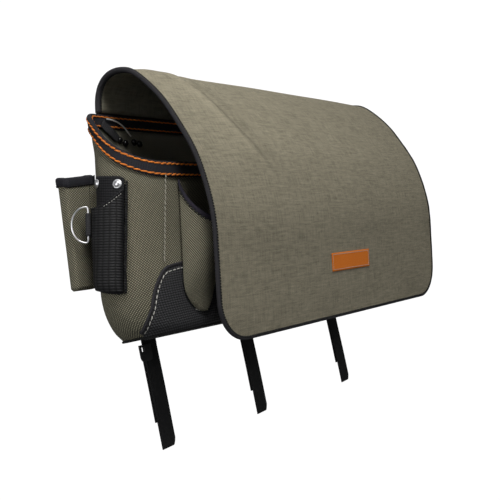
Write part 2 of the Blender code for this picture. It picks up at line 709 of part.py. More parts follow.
def cover_layer(name, slot, depth, thickness):
    end = ARC - MARGIN
    radius = COVER_CORNER - MARGIN
    plain = end - radius
    ss = [plain * i / (STATIONS - 5) for i in range(STATIONS - 4)]
    ss += [plain + radius * math.sin(math.radians(a)) for a in (22, 42, 60, 74, 84)]
    ss.append(end)
    rows = []
    for s in ss:
        half = half_width(s, MARGIN) if s < end else COVER_HALF - COVER_CORNER
        rows.append([cover_point(half * k, s, depth) for k in (-1.0, -0.5, 0.0, 0.5, 1.0)])
    return solidify(finish(sheet_grid(rows), name, slot, origin=PIVOT, recalc=False), thickness)


cover_layer("cover_panel", "khaki_cover", 0.7, 1.2)
cover_layer("cover_stiffener", "board", 2.2, 1.2)
cover_layer("cover_lining", "lining", 3.5, 0.8)

# Bound edge: down the left side, along the bottom and up the right side
stations = []
plain = ARC - COVER_CORNER
for i in range(STATIONS - 4):
    stations.append(((-1.0, 0.0), plain * i / (STATIONS - 5)))
sections = []


def bind_section(outer, inner):
    return [cover_point(outer[0], outer[1], -0.6), cover_point(inner[0], inner[1], -0.6),
            cover_point(inner[0], inner[1], 4.6), cover_point(outer[0], outer[1], 4.6)]


for (_, s) in stations:
    sections.append(bind_section((-COVER_HALF, s), (-COVER_HALF + BIND_W, s)))
for a in (18, 36, 54, 72, 90):
    c, sn = math.cos(math.radians(a)), math.sin(math.radians(a))
    cx, cs = -COVER_HALF + COVER_CORNER, plain
    sections.append(bind_section((cx - COVER_CORNER * c, cs + COVER_CORNER * sn),
                                 (cx - (COVER_CORNER - BIND_W) * c, cs + (COVER_CORNER - BIND_W) * sn)))
for x in (-130.0, 0.0, 130.0):
    sections.append(bind_section((x, ARC), (x, ARC - BIND_W)))
for a in (90, 72, 54, 36, 18):
    c, sn = math.cos(math.radians(a)), math.sin(math.radians(a))
    cx, cs = COVER_HALF - COVER_CORNER, plain
    sections.append(bind_section((cx + COVER_CORNER * c, cs + COVER_CORNER * sn),
                                 (cx + (COVER_CORNER - BIND_W) * c, cs + (COVER_CORNER - BIND_W) * sn)))
for (_, s) in reversed(stations):
    sections.append(bind_section((COVER_HALF, s), (COVER_HALF - BIND_W, s)))
finish(stack(sections), "cover_binding", "black_webbing", origin=PIVOT)

# Blank sewn label on the front of the cover
label_rows = []
for s in (0.0, 0.25, 0.5, 0.75, 1.0):
    s_mm = 379.5 + 24.5 * s
    label_rows.append([cover_point(x, s_mm, -0.75) for x in (-43.0, 11.5, 66.0)])
solidify(finish(sheet_grid(label_rows), "cover_label", "orange", origin=PIVOT, recalc=False), 0.6)
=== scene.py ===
"""Looks for the hanging tool bag: cloth, webbing, stitching and metal around the fixed CAD frame."""
import math

import bmesh
import bpy
import numpy as np
from mathutils import Matrix, Vector, noise


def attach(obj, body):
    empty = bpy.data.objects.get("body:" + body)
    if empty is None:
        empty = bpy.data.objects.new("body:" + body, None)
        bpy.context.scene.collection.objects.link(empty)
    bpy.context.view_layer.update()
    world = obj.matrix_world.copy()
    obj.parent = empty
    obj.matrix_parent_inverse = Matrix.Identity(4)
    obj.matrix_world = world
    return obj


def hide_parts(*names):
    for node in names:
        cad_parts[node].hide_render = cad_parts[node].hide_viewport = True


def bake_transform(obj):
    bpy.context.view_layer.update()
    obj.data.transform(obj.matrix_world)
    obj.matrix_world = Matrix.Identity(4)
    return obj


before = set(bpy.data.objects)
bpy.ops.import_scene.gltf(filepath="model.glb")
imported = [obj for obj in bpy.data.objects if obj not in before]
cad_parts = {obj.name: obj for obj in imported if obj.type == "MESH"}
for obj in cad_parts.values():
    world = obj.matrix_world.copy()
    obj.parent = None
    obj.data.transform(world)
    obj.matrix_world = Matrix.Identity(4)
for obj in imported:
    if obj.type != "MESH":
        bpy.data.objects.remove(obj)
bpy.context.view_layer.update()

# ---------------------------------------------------------------------------
# Dimensions repeated from the CAD model (mm; h is height below the hinge line)
# ---------------------------------------------------------------------------
HZ = 145.0
END_X, Y_BACK, FRONT, BOTTOM, WALL = 297.0, -3.3, -100.0, -288.0, 2.2
BAND_H = 19.0
RIM_LINE = [(-102.0, -91.0), (-95.0, -87.0), (-87.0, -81.0), (-70.0, -67.0), (-51.0, -48.0),
            (-29.0, -20.0), (-8.0, -3.5), (0.0, -1.8)]
SWELL = [(-288.0, 60.0), (-284.0, 71.0), (-277.0, 79.0), (-266.0, 86.0), (-250.0, 91.5),
         (-232.0, 92.5), (-210.0, 88.0), (-177.0, 79.5), (-118.0, 64.0), (-57.0, 51.0), (0.0, 46.0)]
COVER_HALF, COVER_CORNER, BIND_W = 300.0, 52.0, 6.0
COVER_PROFILE = [(-2.0, 0.9), (-3.0, 8.5), (-5.6, 17.0), (-9.5, 26.0), (-15.5, 33.7), (-24.0, 39.8), (-34.5, 42.9),
                 (-46.0, 43.2), (-57.5, 40.6), (-73.0, 33.0), (-94.0, 10.5), (-113.0, -17.0), (-128.0, -49.0),
                 (-142.5, -87.0), (-149.5, -130.0), (-149.8, -172.0), (-141.0, -224.0), (-124.0, -314.0)]
STRAP_X = (-289.5, -89.0, 150.5)
STRAP_END, PY, PZ = -422.0, -3.9, -292.5
POCKET_X = (-262.0, -87.0, 87.0, 262.0)
POCKET_Y = FRONT - 3.2


def table(rows, x, soft=0.0):
    xs, vs = [r[0] for r in rows], [r[1] for r in rows]
    if not soft:
        return np.interp(x, xs, vs)
    x = np.asarray(x, float)
    total, weight = 0.0, 0.0
    for k in range(-4, 5):
        w = 1.0 - abs(k) / 5.0
        total = total + w * np.interp(x + soft * k / 4.0, xs, vs)
        weight += w
    return total / weight


def rim(y):
    return table(RIM_LINE, y, 6.0)


def M(x, y, h):
    """mm to a metre array of points."""
    x, y, h = np.broadcast_arrays(np.asarray(x, float), np.asarray(y, float), np.asarray(h, float))
    return np.stack([x, y, h + HZ], -1) * 0.001


def wob(p, scale, seed):
    """Smooth noise at points p (metres), about -1 to 1."""
    flat = p.reshape(-1, 3)
    out = np.empty(len(flat))
    off = Vector((seed * 3.7, seed * 1.3, seed * 2.1))
    for i, q in enumerate(flat):
        out[i] = noise.noise(Vector((q[0], q[1], q[2])) / scale + off)
    return out.reshape(p.shape[:-1])


# ---------------------------------------------------------------------------
# Mesh helpers
# ---------------------------------------------------------------------------
COLL = bpy.data.collections.new("looks")
bpy.context.scene.collection.children.link(COLL)


def mesh_object(name, verts, faces, loop_uv=None, mat=None, smooth=True, angle=None):
    me = bpy.data.meshes.new(name)
    me.from_pydata([tuple(v) for v in verts], [], faces)
    if loop_uv is not None:
        layer = me.uv_layers.new(name="cloth")
        layer.data.foreach_set("uv", np.asarray(loop_uv, np.float32).ravel())
    if smooth:
        me.shade_smooth()
        if angle:
            me.set_sharp_from_angle(angle=math.radians(angle))
    me.update()
    ob = bpy.data.objects.new(name, me)
    COLL.objects.link(ob)
    if mat:
        me.materials.append(mat)
    return ob


def grid(name, P, U, V, mat, loop=False, flip=False, angle=None):
    """A grid surface from points P (rows, columns, 3), with its cloth coordinates in metres."""
    rows, cols = P.shape[:2]
    U = np.broadcast_to(U, (rows, cols + 1 if loop else cols)) if np.ndim(U) < 2 else U
    V = np.broadcast_to(V, U.shape) if np.ndim(V) < 2 else V
    faces, uv = [], []
    last = cols if loop else cols - 1
    for i in range(rows - 1):
        for j in range(last):
            k = (j + 1) % cols
            quad = [(i, j, j), (i, k, j + 1), (i + 1, k, j + 1), (i + 1, j, j)]
            if flip:
                quad.reverse()
            faces.append([r * cols + c for r, c, _ in quad])
            uv.extend([(U[r, cu], V[r, cu]) for r, _, cu in quad])
    return mesh_object(name, P.reshape(-1, 3), faces, uv, mat, angle=angle)


def thick(ob, mm, offset=0.0):
    mod = ob.modifiers.new("thickness", "SOLIDIFY")
    mod.thickness, mod.offset = mm * 0.001, offset
    mod.use_even_offset = False
    mod.use_quality_normals = True
    return ob


def arc(points):
    d = np.linalg.norm(np.diff(points, axis=0), axis=1)
    return np.concatenate([[0.0], np.cumsum(d)])


def tangents(pts, closed=False):
    if closed:
        t = np.roll(pts, -1, 0) - np.roll(pts, 1, 0)
    else:
        t = np.gradient(pts, axis=0)
    return t / np.linalg.norm(t, axis=1)[:, None]


def tube(name, pts, radius, mat, closed=False, sides=10, normal=None, squash=1.0, wave=0.0):
    """A round cord along pts (metres, radius in mm)."""
    pts = np.asarray(pts, float)
    t = tangents(pts, closed)
    n0 = np.array(normal if normal is not None else (0.13, 0.21, 0.97))
    n = n0 - t * (t @ n0)[:, None] if n0.ndim == 1 else n0 - t * np.sum(t * n0, 1)[:, None]
    n /= np.linalg.norm(n, axis=1)[:, None]
    b = np.cross(t, n)
    a = np.linspace(0, 2 * np.pi, sides, endpoint=False)
    s = np.concatenate([arc(pts), [0]])[:len(pts)]
    r = radius * 0.001 * (1 + wave * np.sin(s * 1000 * 1.7))
    P = pts[:, None] + (n[:, None] * np.cos(a)[None, :, None] * squash + b[:, None] * np.sin(a)[None, :, None]) * r[:, None, None]
    if closed:
        P = np.concatenate([P, P[:1]], 0)
        s = np.concatenate([s, [s[-1] + np.linalg.norm(pts[0] - pts[-1])]])
    U = np.broadcast_to(np.linspace(0, 2 * np.pi * radius * 0.001, sides + 1), (len(s), sides + 1))
    V = np.broadcast_to(s[:, None], (len(s), sides + 1))
    ob = grid(name, P, U, V, mat, loop=True)
    bm = bmesh.new()
    bm.from_mesh(ob.data)
    if closed:
        bmesh.ops.remove_doubles(bm, verts=bm.verts, dist=1e-7)
    else:
        bmesh.ops.holes_fill(bm, edges=[e for e in bm.edges if e.is_boundary], sides=0)
    bmesh.ops.recalc_face_normals(bm, faces=bm.faces)
    bm.to_mesh(ob.data)
    bm.free()
    return ob


BALL = []
for _i in range(1, 4):
    for _j in range(8):
        _a, _b = math.pi * _i / 4, 2 * math.pi * _j / 8
        BALL.append((math.cos(_a), math.sin(_a) * math.cos(_b), math.sin(_a) * math.sin(_b)))
BALL = np.array([(1.0, 0, 0)] + BALL + [(-1.0, 0, 0)])
BALL_F = [[0, 1 + (j + 1) % 8, 1 + j] for j in range(8)]
for _i in range(2):
    BALL_F += [[1 + _i * 8 + j, 1 + _i * 8 + (j + 1) % 8, 9 + _i * 8 + (j + 1) % 8, 9 + _i * 8 + j] for j in range(8)]
BALL_F += [[25, 17 + j, 17 + (j + 1) % 8] for j in range(8)]
BALL_F = [f[::-1] for f in BALL_F]


def stitches(name, runs, pitch, length, width, height, mat, slant=0.0, lift=0.0, seed=1):
    """Thread stitches along runs of (points, normals); sizes in mm. One mesh."""
    rng = np.random.default_rng(seed)
    verts, faces = [], []
    shape = BALL.copy()
    shape[:, 0] = np.sign(shape[:, 0]) * np.abs(shape[:, 0]) ** 0.8
    for pts, nor in runs:
        pts, nor = np.asarray(pts, float), np.asarray(nor, float)
        s = arc(pts)
        n = max(1, int(s[-1] * 1000 / pitch))
        for i in range(n):
            c = (i + 0.5) / n * s[-1]
            half = 0.5 * length * 0.001 * (1 + rng.uniform(-0.07, 0.07))
            p0 = np.array([np.interp(c - half, s, pts[:, k]) for k in range(3)])
            p1 = np.array([np.interp(c + half, s, pts[:, k]) for k in range(3)])
            nn = np.array([np.interp(c, s, nor[:, k]) for k in range(3)])
            t = p1 - p0
            t /= np.linalg.norm(t)
            nn = nn - t * (nn @ t)
            nn /= np.linalg.norm(nn)
            b = np.cross(nn, t)
            turn = slant + rng.uniform(-0.05, 0.05)
            t2 = t * math.cos(turn) + b * math.sin(turn)
            b2 = np.cross(nn, t2)
            mid = (p0 + p1) / 2 + nn * lift * 0.001
            pos = mid + shape[:, :1] * t2 * half + shape[:, 1:2] * b2 * width * 0.0005 + shape[:, 2:3] * nn * height * 0.0005
            base = len(verts)
            verts.extend(pos)
            faces.extend([[base + v for v in f] for f in BALL_F])
    uv = []
    V = np.array(verts)
    for f in faces:
        for v in f:
            uv.append(((V[v][0] + V[v][1]) * 1.0, V[v][2]))
    return mesh_object(name, verts, faces, uv, mat)


def lathe(name, place, axis, profile, mat, steps=32):
    """Turned piece: profile of (radius, height) in mm, foot to crown, on an axis."""
    a = np.linspace(0, 2 * np.pi, steps, endpoint=False)
    prof = np.array(profile, float) * 0.001
    P = np.stack([prof[:, :1] * np.cos(a), prof[:, :1] * np.sin(a), np.repeat(prof[:, 1:2], steps, 1)], -1)
    turn = np.array(Vector((0, 0, 1)).rotation_difference(Vector(axis)).to_matrix())
    P = P @ turn.T + np.array(place)
    U = np.broadcast_to(np.linspace(0, 0.02, steps + 1), (len(prof), steps + 1))
    V = np.broadcast_to(np.linspace(0, 0.01, len(prof))[:, None], (len(prof), steps + 1))
    ob = grid(name, P, U, V, mat, loop=True, angle=50)
    bm = bmesh.new()
    bm.from_mesh(ob.data)
    bmesh.ops.holes_fill(bm, edges=[e for e in bm.edges if e.is_boundary], sides=0)
    bmesh.ops.recalc_face_normals(bm, faces=bm.faces)
    bm.to_mesh(ob.data)
    bm.free()
    return ob


def place(ob, body, slot, *nodes):
    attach(ob, body)
    if nodes:
        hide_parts(*nodes)
    return ob


# ---------------------------------------------------------------------------
# Materials
# ---------------------------------------------------------------------------
class Nodes:
    def __init__(self, name):
        self.mat = bpy.data.materials.new(name)
        self.mat.use_nodes = True
        self.t = self.mat.node_tree
        self.bsdf = self.t.nodes["Principled BSDF"]

    def add(self, kind, props=None, **inputs):
        node = self.t.nodes.new(kind)
        for k, v in (props or {}).items():
            setattr(node, k, v)
        for k, v in inputs.items():
            key = int(k[1:]) if k[0] == "i" and k[1:].isdigit() else k.replace("_", " ")
            self.link(v, node.inputs[key])
        return node

    def link(self, v, socket):
        if isinstance(v, bpy.types.NodeSocket):
            self.t.links.new(v, socket)
        elif isinstance(v, bpy.types.Node):
            self.t.links.new(v.outputs[0], socket)
        else:
            socket.default_value = v

    def math(self, op, a, b=0.0, clamp=False):
        n = self.add("ShaderNodeMath", {"operation": op, "use_clamp": clamp})
        self.link(a, n.inputs[0])
        self.link(b, n.inputs[1])
        return n.outputs[0]

    def mix(self, fac, a, b):
        n = self.add("ShaderNodeMix", {"data_type": "RGBA"})
        self.link(fac, n.inputs[0])
        for v, s in ((a, n.inputs[6]), (b, n.inputs[7])):
            self.link(v if isinstance(v, (bpy.types.NodeSocket, bpy.types.Node)) else (*v, 1.0), s)
        return n.outputs[2]

    def lerp(self, fac, a, b):
        n = self.add("ShaderNodeMix", {"data_type": "FLOAT"})
        self.link(fac, n.inputs[0])
        self.link(a, n.inputs[2])
        self.link(b, n.inputs[3])
        return n.outputs[0]

    def uv(self, su=1.0, sv=1.0, turn=0.0):
        """Cloth coordinates in cells; returns x and y."""
        uv = self.add("ShaderNodeUVMap", {"uv_map": "cloth"})
        m = self.add("ShaderNodeMapping")
        self.link(uv, m.inputs["Vector"])
        m.inputs["Rotation"].default_value = (0, 0, turn)
        m.inputs["Scale"].default_value = (1.0, 1.0, 1.0)
        sep = self.add("ShaderNodeSeparateXYZ")
        self.link(m, sep.inputs[0])
        x = self.math("MULTIPLY_ADD", sep.outputs[0], 1.0 / su)
        y = self.math("MULTIPLY_ADD", sep.outputs[1], 1.0 / sv)
        x.node.inputs[2].default_value = 2000.0
        y.node.inputs[2].default_value = 2000.0
        return x, y

    def noise3(self, scale, detail=2.0, stretch=None, rough=0.5):
        co = self.add("ShaderNodeTexCoord").outputs["Object"]
        if stretch:
            m = self.add("ShaderNodeMapping")
            self.link(co, m.inputs["Vector"])
            m.inputs["Scale"].default_value = stretch
            co = m.outputs[0]
        n = self.add("ShaderNodeTexNoise")
        self.link(co, n.inputs["Vector"])
        n.inputs["Scale"].default_value = scale
        n.inputs["Detail"].default_value = detail
        n.inputs["Roughness"].default_value = rough
        return n.outputs[0]

    def noise_uv(self, su, sv, detail=1.0, seed=0.0):
        uv = self.add("ShaderNodeUVMap", {"uv_map": "cloth"})
        m = self.add("ShaderNodeMapping")
        self.link(uv, m.inputs["Vector"])
        m.inputs["Location"].default_value = (seed, seed * 0.7, seed * 0.3)
        m.inputs["Scale"].default_value = (1.0 / su, 1.0 / sv, 1.0)
        n = self.add("ShaderNodeTexNoise")
        self.link(m, n.inputs["Vector"])
        n.inputs["Scale"].default_value = 1.0
        n.inputs["Detail"].default_value = detail
        return n.outputs[0]

    def done(self, colour, rough, height=None, depth=0.0004, sheen=0.0, metal=0.0, spec=None, strength=1.0):
        b = self.bsdf
        self.link(colour if isinstance(colour, bpy.types.NodeSocket) else (*colour, 1.0), b.inputs["Base Color"])
        self.link(rough, b.inputs["Roughness"])
        b.inputs["Metallic"].default_value = metal
        if sheen:
            b.inputs["Sheen Weight"].default_value = sheen
            b.inputs["Sheen Roughness"].default_value = 0.5
        if spec is not None:
            b.inputs["Specular IOR Level"].default_value = spec
        if height is not None:
            bump = self.add("ShaderNodeBump")
            bump.inputs["Strength"].default_value = strength
            bump.inputs["Distance"].default_value = depth
            self.link(height, bump.inputs["Height"])
            self.t.links.new(bump.outputs[0], b.inputs["Normal"])
        return self.mat


def weave(name, light, dark, cell=(0.0016, 0.0016), contrast=1.0, parity=0.18, vary=0.12, slub=0.0,
          rough=0.85, depth=0.0004, sheen=0.0, turn=0.0, spec=0.25, run=2, painted_fold_shading=0.0):
    """Woven cloth: threads pass over and under, each cell of the given size in metres."""
    n = Nodes(name)
    x, y = n.uv(cell[0], cell[1], turn)
    if run > 1:
        shift = n.math("MULTIPLY", n.math("FLOOR", y), 1.0)
        par = n.math("MODULO", n.math("ADD", n.math("FLOOR", x), shift), 2.0)
    elif run == 0:
        par = n.math("MULTIPLY", n.math("MODULO", n.math("FLOOR", y), 2.0), 0.25)
    else:
        par = n.math("MODULO", n.math("FLOOR", y), 2.0)
    hx = n.math("SINE", n.math("MULTIPLY", n.math("FRACT", x), math.pi))
    hy = n.math("SINE", n.math("MULTIPLY", n.math("FRACT", y), math.pi))
    up = n.math("MULTIPLY", hx, n.math("MULTIPLY_ADD", hy, 0.45))
    up.node.inputs[1].default_value = 1.0
    a = n.math("MULTIPLY", hx, n.math("ADD", n.math("MULTIPLY", hy, 0.45), 0.55))
    b = n.math("MULTIPLY", hy, n.math("ADD", n.math("MULTIPLY", hx, 0.45), 0.55))
    h = n.lerp(par, a, b)
    if run == 0:
        h = n.math("MULTIPLY", n.math("POWER", hx, 0.6), n.math("POWER", hy, 0.9))
    fac = n.math("POWER", h, 0.8)
    fac = n.math("MULTIPLY", fac, n.math("SUBTRACT", 1.0, n.math("MULTIPLY", par, parity)))
    fac = n.math("ADD", n.math("MULTIPLY", fac, contrast), (1 - contrast) * 0.62)
    big = n.math("SUBTRACT", n.noise3(9.0, 3.0), 0.5)
    small = n.math("SUBTRACT", n.noise3(160.0, 2.0), 0.5)
    fac = n.math("ADD", fac, n.math("MULTIPLY", big, vary * 2))
    fac = n.math("ADD", fac, n.math("MULTIPLY", small, vary * 1.2))
    if slub:
        s1 = n.math("SUBTRACT", n.noise_uv(0.0015, 0.024, 2.0), 0.5)
        s2 = n.math("SUBTRACT", n.noise_uv(0.020, 0.0015, 2.0, 5.0), 0.5)
        s3 = n.math("SUBTRACT", n.noise_uv(0.010, 0.0040, 2.0, 9.0), 0.5)
        both = n.math("ADD", n.math("ADD", s1, s2), n.math("MULTIPLY", s3, 0.6))
        fac = n.math("ADD", fac, n.math("MULTIPLY", both, slub * 2))
    if painted_fold_shading:      # painted shade in the fold that runs down from the upper left, with a painted highlight on its left side and a fainter painted shade to its right
        sep = n.add("ShaderNodeSeparateXYZ")
        n.link(n.add("ShaderNodeUVMap", {"uv_map": "cloth"}), sep.inputs[0])
        cu, cv = sep.outputs[0], sep.outputs[1]
        bend = n.math("MULTIPLY", n.math("SINE", n.math("MULTIPLY", cv, 25.0)), 0.008)
        across = n.math("SUBTRACT", n.math("SUBTRACT", n.math("ADD", cu, 0.209), n.math("MULTIPLY", n.math("SUBTRACT", cv, 0.150), 0.42)), bend)
        run_ = n.math("POWER", n.math("ABSOLUTE", n.math("MULTIPLY", n.math("SUBTRACT", cv, 0.170), 1 / 0.085)), 4.0)

        def band_(mid, wide, weight):
            q = n.math("MULTIPLY", n.math("SUBTRACT", across, mid), 1 / wide)
            e = n.math("EXPONENT", n.math("MULTIPLY", n.math("ADD", n.math("MULTIPLY", q, q), run_), -1.0))
            return n.math("MULTIPLY", e, weight)

        shade = n.math("ADD", n.math("ADD", band_(0.006, 0.0060, -1.0), band_(-0.010, 0.009, 0.42)), band_(0.030, 0.012, -0.35))
        shade = n.math("MULTIPLY", shade, n.math("ADD", n.math("MULTIPLY", n.noise_uv(0.012, 0.030, 2.0, 3.0), 0.8), 0.6))
        fac = n.math("ADD", fac, n.math("MULTIPLY", shade, painted_fold_shading))
    fac = n.math("MAXIMUM", n.math("MINIMUM", fac, 1.0), 0.0)
    colour = n.mix(fac, dark, light)
    fuzz = n.math("MULTIPLY", n.noise3(1400.0, 1.0), 0.25)
    return n.done(colour, n.math("ADD", n.math("MULTIPLY", small, 0.15), rough), n.math("ADD", h, fuzz), depth, sheen, spec=spec)


def plastic(name, colour, rough, grain=0.00005, scale=900.0):
    n = Nodes(name)
    v = n.noise3(scale, 3.0)
    big = n.noise3(25.0, 2.0)
    c = n.mix(big, tuple(x * 0.8 for x in colour), tuple(min(1, x * 1.25) for x in colour))
    return n.done(c, n.math("ADD", n.math("MULTIPLY", v, 0.18), rough - 0.09), v, grain)


def metal(name, colour, rough):
    n = Nodes(name)
    v = n.noise3(300.0, 4.0)
    s = n.noise3(60.0, 2.0, (1.0, 1.0, 14.0))
    c = n.mix(v, tuple(x * 0.82 for x in colour), colour)
    return n.done(c, n.math("ADD", n.math("MULTIPLY", n.math("ADD", v, s), 0.16), rough - 0.08), s, 0.00002, metal=1.0)


def thread(name, light, dark, rough=0.6, pitch=0.0011):
    """Twisted sewing thread."""
    n = Nodes(name)
    x, y = n.uv(pitch, pitch, 0.6)
    w = n.math("SINE", n.math("MULTIPLY", x, 2 * math.pi))
    f = n.math("ADD", n.math("MULTIPLY", w, 0.3), 0.6)
    f = n.math("ADD", f, n.math("MULTIPLY", n.math("SUBTRACT", n.noise3(40.0), 0.5), 0.5))
    f = n.math("MAXIMUM", n.math("MINIMUM", f, 1.0), 0.0)
    return n.done(n.mix(f, dark, light), rough, w, 0.0002, spec=0.3)


KHAKI = weave("khaki_ballistic", (0.365, 0.342, 0.242), (0.005, 0.005, 0.004), (0.00150, 0.00150), 1.15, 0.72, 0.10,
              rough=0.88, depth=0.0006)
# the cover cloth's colour carries painted shade and a painted highlight along its fold
KHAKI_COVER = weave("khaki_cover_cloth", (0.405, 0.368, 0.268), (0.125, 0.113, 0.081), (0.0013, 0.0013), 1.0, 0.45,
                    0.10, slub=0.36, rough=0.9, depth=0.00035, painted_fold_shading=0.34)
INNER = weave("inner_cloth", (0.420, 0.400, 0.310), (0.110, 0.105, 0.083), (0.0015, 0.0015), 1.0, 0.4, 0.1, rough=0.9)
LINING = weave("cover_lining_cloth", (0.290, 0.277, 0.208), (0.105, 0.100, 0.076), (0.0014, 0.0014), 0.9, 0.25, 0.12,
               slub=0.4, rough=0.9, depth=0.0002)
WEB = weave("black_webbing_cloth", (0.034, 0.034, 0.038), (0.008, 0.008, 0.009), (0.0016, 0.0024), 1.0, 0.3, 0.15,
            rough=0.75, depth=0.0004, spec=0.3)
BAND = weave("rim_webbing", (0.026, 0.026, 0.032), (0.005, 0.005, 0.007), (0.0014, 0.0020), 1.0, 0.2, 0.15,
             rough=0.8, depth=0.0003, spec=0.15)
BINDING = weave("binding_tape", (0.040, 0.0385, 0.044), (0.011, 0.0105, 0.012), (0.0009, 0.0016), 0.9, 0.2, 0.15,
                rough=0.8, depth=0.00025, spec=0.2)
LIP = weave("pocket_binding_tape", (0.030, 0.026, 0.040), (0.009, 0.008, 0.012), (0.0010, 0.0014), 0.8, 0.2, 0.15,
            rough=0.78, depth=0.0002, spec=0.15)
STRAP = weave("strap_webbing", (0.016, 0.016, 0.017), (0.004, 0.004, 0.004), (0.0022, 0.0013), 1.0, 0.25, 0.12,
              rough=0.78, depth=0.0004)
SHEATH = weave("sheath_grid_cloth", (0.022, 0.022, 0.0235), (0.0015, 0.0015, 0.0015), (0.0062, 0.0031), 1.25, 0.0, 0.10,
               rough=0.6, depth=0.0009, spec=0.18, run=0)
SHEATH_BACK = weave("sheath_back_cloth", (0.020, 0.020, 0.022), (0.003, 0.003, 0.004), (0.0031, 0.0031), 1.1, 0.2, 0.12,
                    rough=0.65, depth=0.0006, spec=0.15, run=0)
MESH = weave("ribbed_mesh_cloth", (0.046, 0.0465, 0.050), (0.0025, 0.0025, 0.003), (0.0034, 0.0027), 1.25, 0.0, 0.10,
             rough=0.6, depth=0.0008, spec=0.2, turn=-0.03, run=0)
BACKCLOTH = weave("back_cloth", (0.040, 0.040, 0.042), (0.010, 0.010, 0.011), (0.0020, 0.0020), 0.9, 0.2, 0.12, rough=0.85)
ORANGE = thread("orange_thread", (0.950, 0.270, 0.022), (0.330, 0.075, 0.008))
SEAMT = thread("seam_thread", (0.400, 0.380, 0.310), (0.150, 0.142, 0.115))
WHITE = thread("white_thread", (0.600, 0.590, 0.550), (0.300, 0.290, 0.260))
DARKT = thread("black_thread", (0.0060, 0.0060, 0.0065), (0.0015, 0.0015, 0.0015), 0.7)
PATCH = weave("label_cloth", (0.830, 0.230, 0.020), (0.560, 0.130, 0.010), (0.0009, 0.0009), 0.7, 0.15, 0.08,
              rough=0.75, depth=0.0002)
PLASTIC = plastic("black_moulded_plastic", (0.012, 0.012, 0.013), 0.42)
GLOSS = plastic("black_gloss_plastic", (0.008, 0.008, 0.008), 0.16, 0.00001)
BOARD = plastic("stiff_board", (0.040, 0.040, 0.042), 0.6, 0.0001, 500.0)
CHROME = metal("bright_plated_steel", (0.80, 0.80, 0.82), 0.24)
RIVETM = metal("rivet_steel", (0.72, 0.72, 0.74), 0.30)
# the steel clip wire gets a light grey non-metal colour: a painted highlight standing in for the steel's reflection
WIRE_PAINTED_HIGHLIGHT = plastic("wire_painted_highlight", (0.62, 0.60, 0.57), 0.35, 0.00001)

# ---------------------------------------------------------------------------
# Camera, light, floor
# ---------------------------------------------------------------------------
cam = bpy.data.cameras.new("camera")
cam.sensor_width, cam.lens, cam.clip_start = 36.0, 61.2, 0.05
camo = bpy.data.objects.new("camera", cam)
bpy.context.scene.collection.objects.link(camo)
RIGHT, DOWN, FWD = ((0.57899742, -0.78846096, -0.20758445), (-0.05943557, 0.21310794, -0.97521917),
                    (0.81316013, 0.57698729, 0.07652632))
camo.matrix_world = Matrix([(RIGHT[i], -DOWN[i], -FWD[i], (-1.06316, -0.73163, -0.14306)[i]) for i in range(3)] + [(0, 0, 0, 1)])
bpy.context.scene.camera = camo
bpy.context.scene.view_settings.view_transform = "Standard"

world = bpy.data.worlds.new("studio")
bpy.context.scene.world = world
world.use_nodes = True
wt = world.node_tree
for node in list(wt.nodes):
    wt.nodes.remove(node)
out = wt.nodes.new("ShaderNodeOutputWorld")
path = wt.nodes.new("ShaderNodeLightPath")
sky, fill, mixer = wt.nodes.new("ShaderNodeBackground"), wt.nodes.new("ShaderNodeBackground"), wt.nodes.new("ShaderNodeMixShader")
sky.inputs[0].default_value = (1, 1, 1, 1)
sky.inputs[1].default_value = 1.05
fill.inputs[0].default_value = (0.97, 0.985, 1.0, 1)
fill.inputs[1].default_value = 0.26
wt.links.new(path.outputs["Is Camera Ray"], mixer.inputs[0])
wt.links.new(fill.outputs[0], mixer.inputs[1])
wt.links.new(sky.outputs[0], mixer.inputs[2])
wt.links.new(mixer.outputs[0], out.inputs[0])


def area(name, loc, target, size, power, colour=(1, 1, 1)):
    data = bpy.data.lights.new(name, "AREA")
    data.shape, data.size, data.energy, data.color = "DISK", size, power, colour
    ob = bpy.data.objects.new(name, data)
    bpy.context.scene.collection.objects.link(ob)
    ob.location = loc
    ob.rotation_euler = (Vector(target) - Vector(loc)).to_track_quat("-Z", "Y").to_euler()
    return ob


area("key", (-0.58, -0.78, 0.98), (-0.22, -0.10, 0.12), 0.50, 13.5, (1.0, 0.985, 0.955))
area("side", (-2.2, -0.14, 0.30), (-0.3, -0.1, 0.0), 0.8, 13.0)
area("front", (-0.62, -2.4, 0.7), (-0.1, -0.15, 0.0), 1.0, 9.0)
area("rim", (0.6, 0.9, 1.1), (0.1, -0.05, 0.15), 0.8, 3.0)

floor_me = bpy.data.meshes.new("floor")
bm = bmesh.new()
bmesh.ops.create_grid(bm, x_segments=2, y_segments=2, size=30.0)
bm.to_mesh(floor_me)
bm.free()
floor = bpy.data.objects.new("floor", floor_me)
floor.location = (0, 0, -1.1)
bpy.context.scene.collection.objects.link(floor)
fm = Nodes("pale_floor")
fm.done((0.35, 0.35, 0.35), 0.9)
seen = fm.add("ShaderNodeEmission", Strength=1.05)
lit = fm.add("ShaderNodeMixShader")
fm.t.links.new(fm.add("ShaderNodeLightPath").outputs["Is Camera Ray"], lit.inputs[0])
fm.t.links.new(fm.bsdf.outputs[0], lit.inputs[1])
fm.t.links.new(seen.outputs[0], lit.inputs[2])
fm.t.links.new(lit.outputs[0], next(n for n in fm.t.nodes if n.type == "OUTPUT_MATERIAL").inputs["Surface"])
floor_me.materials.append(fm.mat)

# ---------------------------------------------------------------------------
# Cover: outer cloth, lining, bound edge
# ---------------------------------------------------------------------------


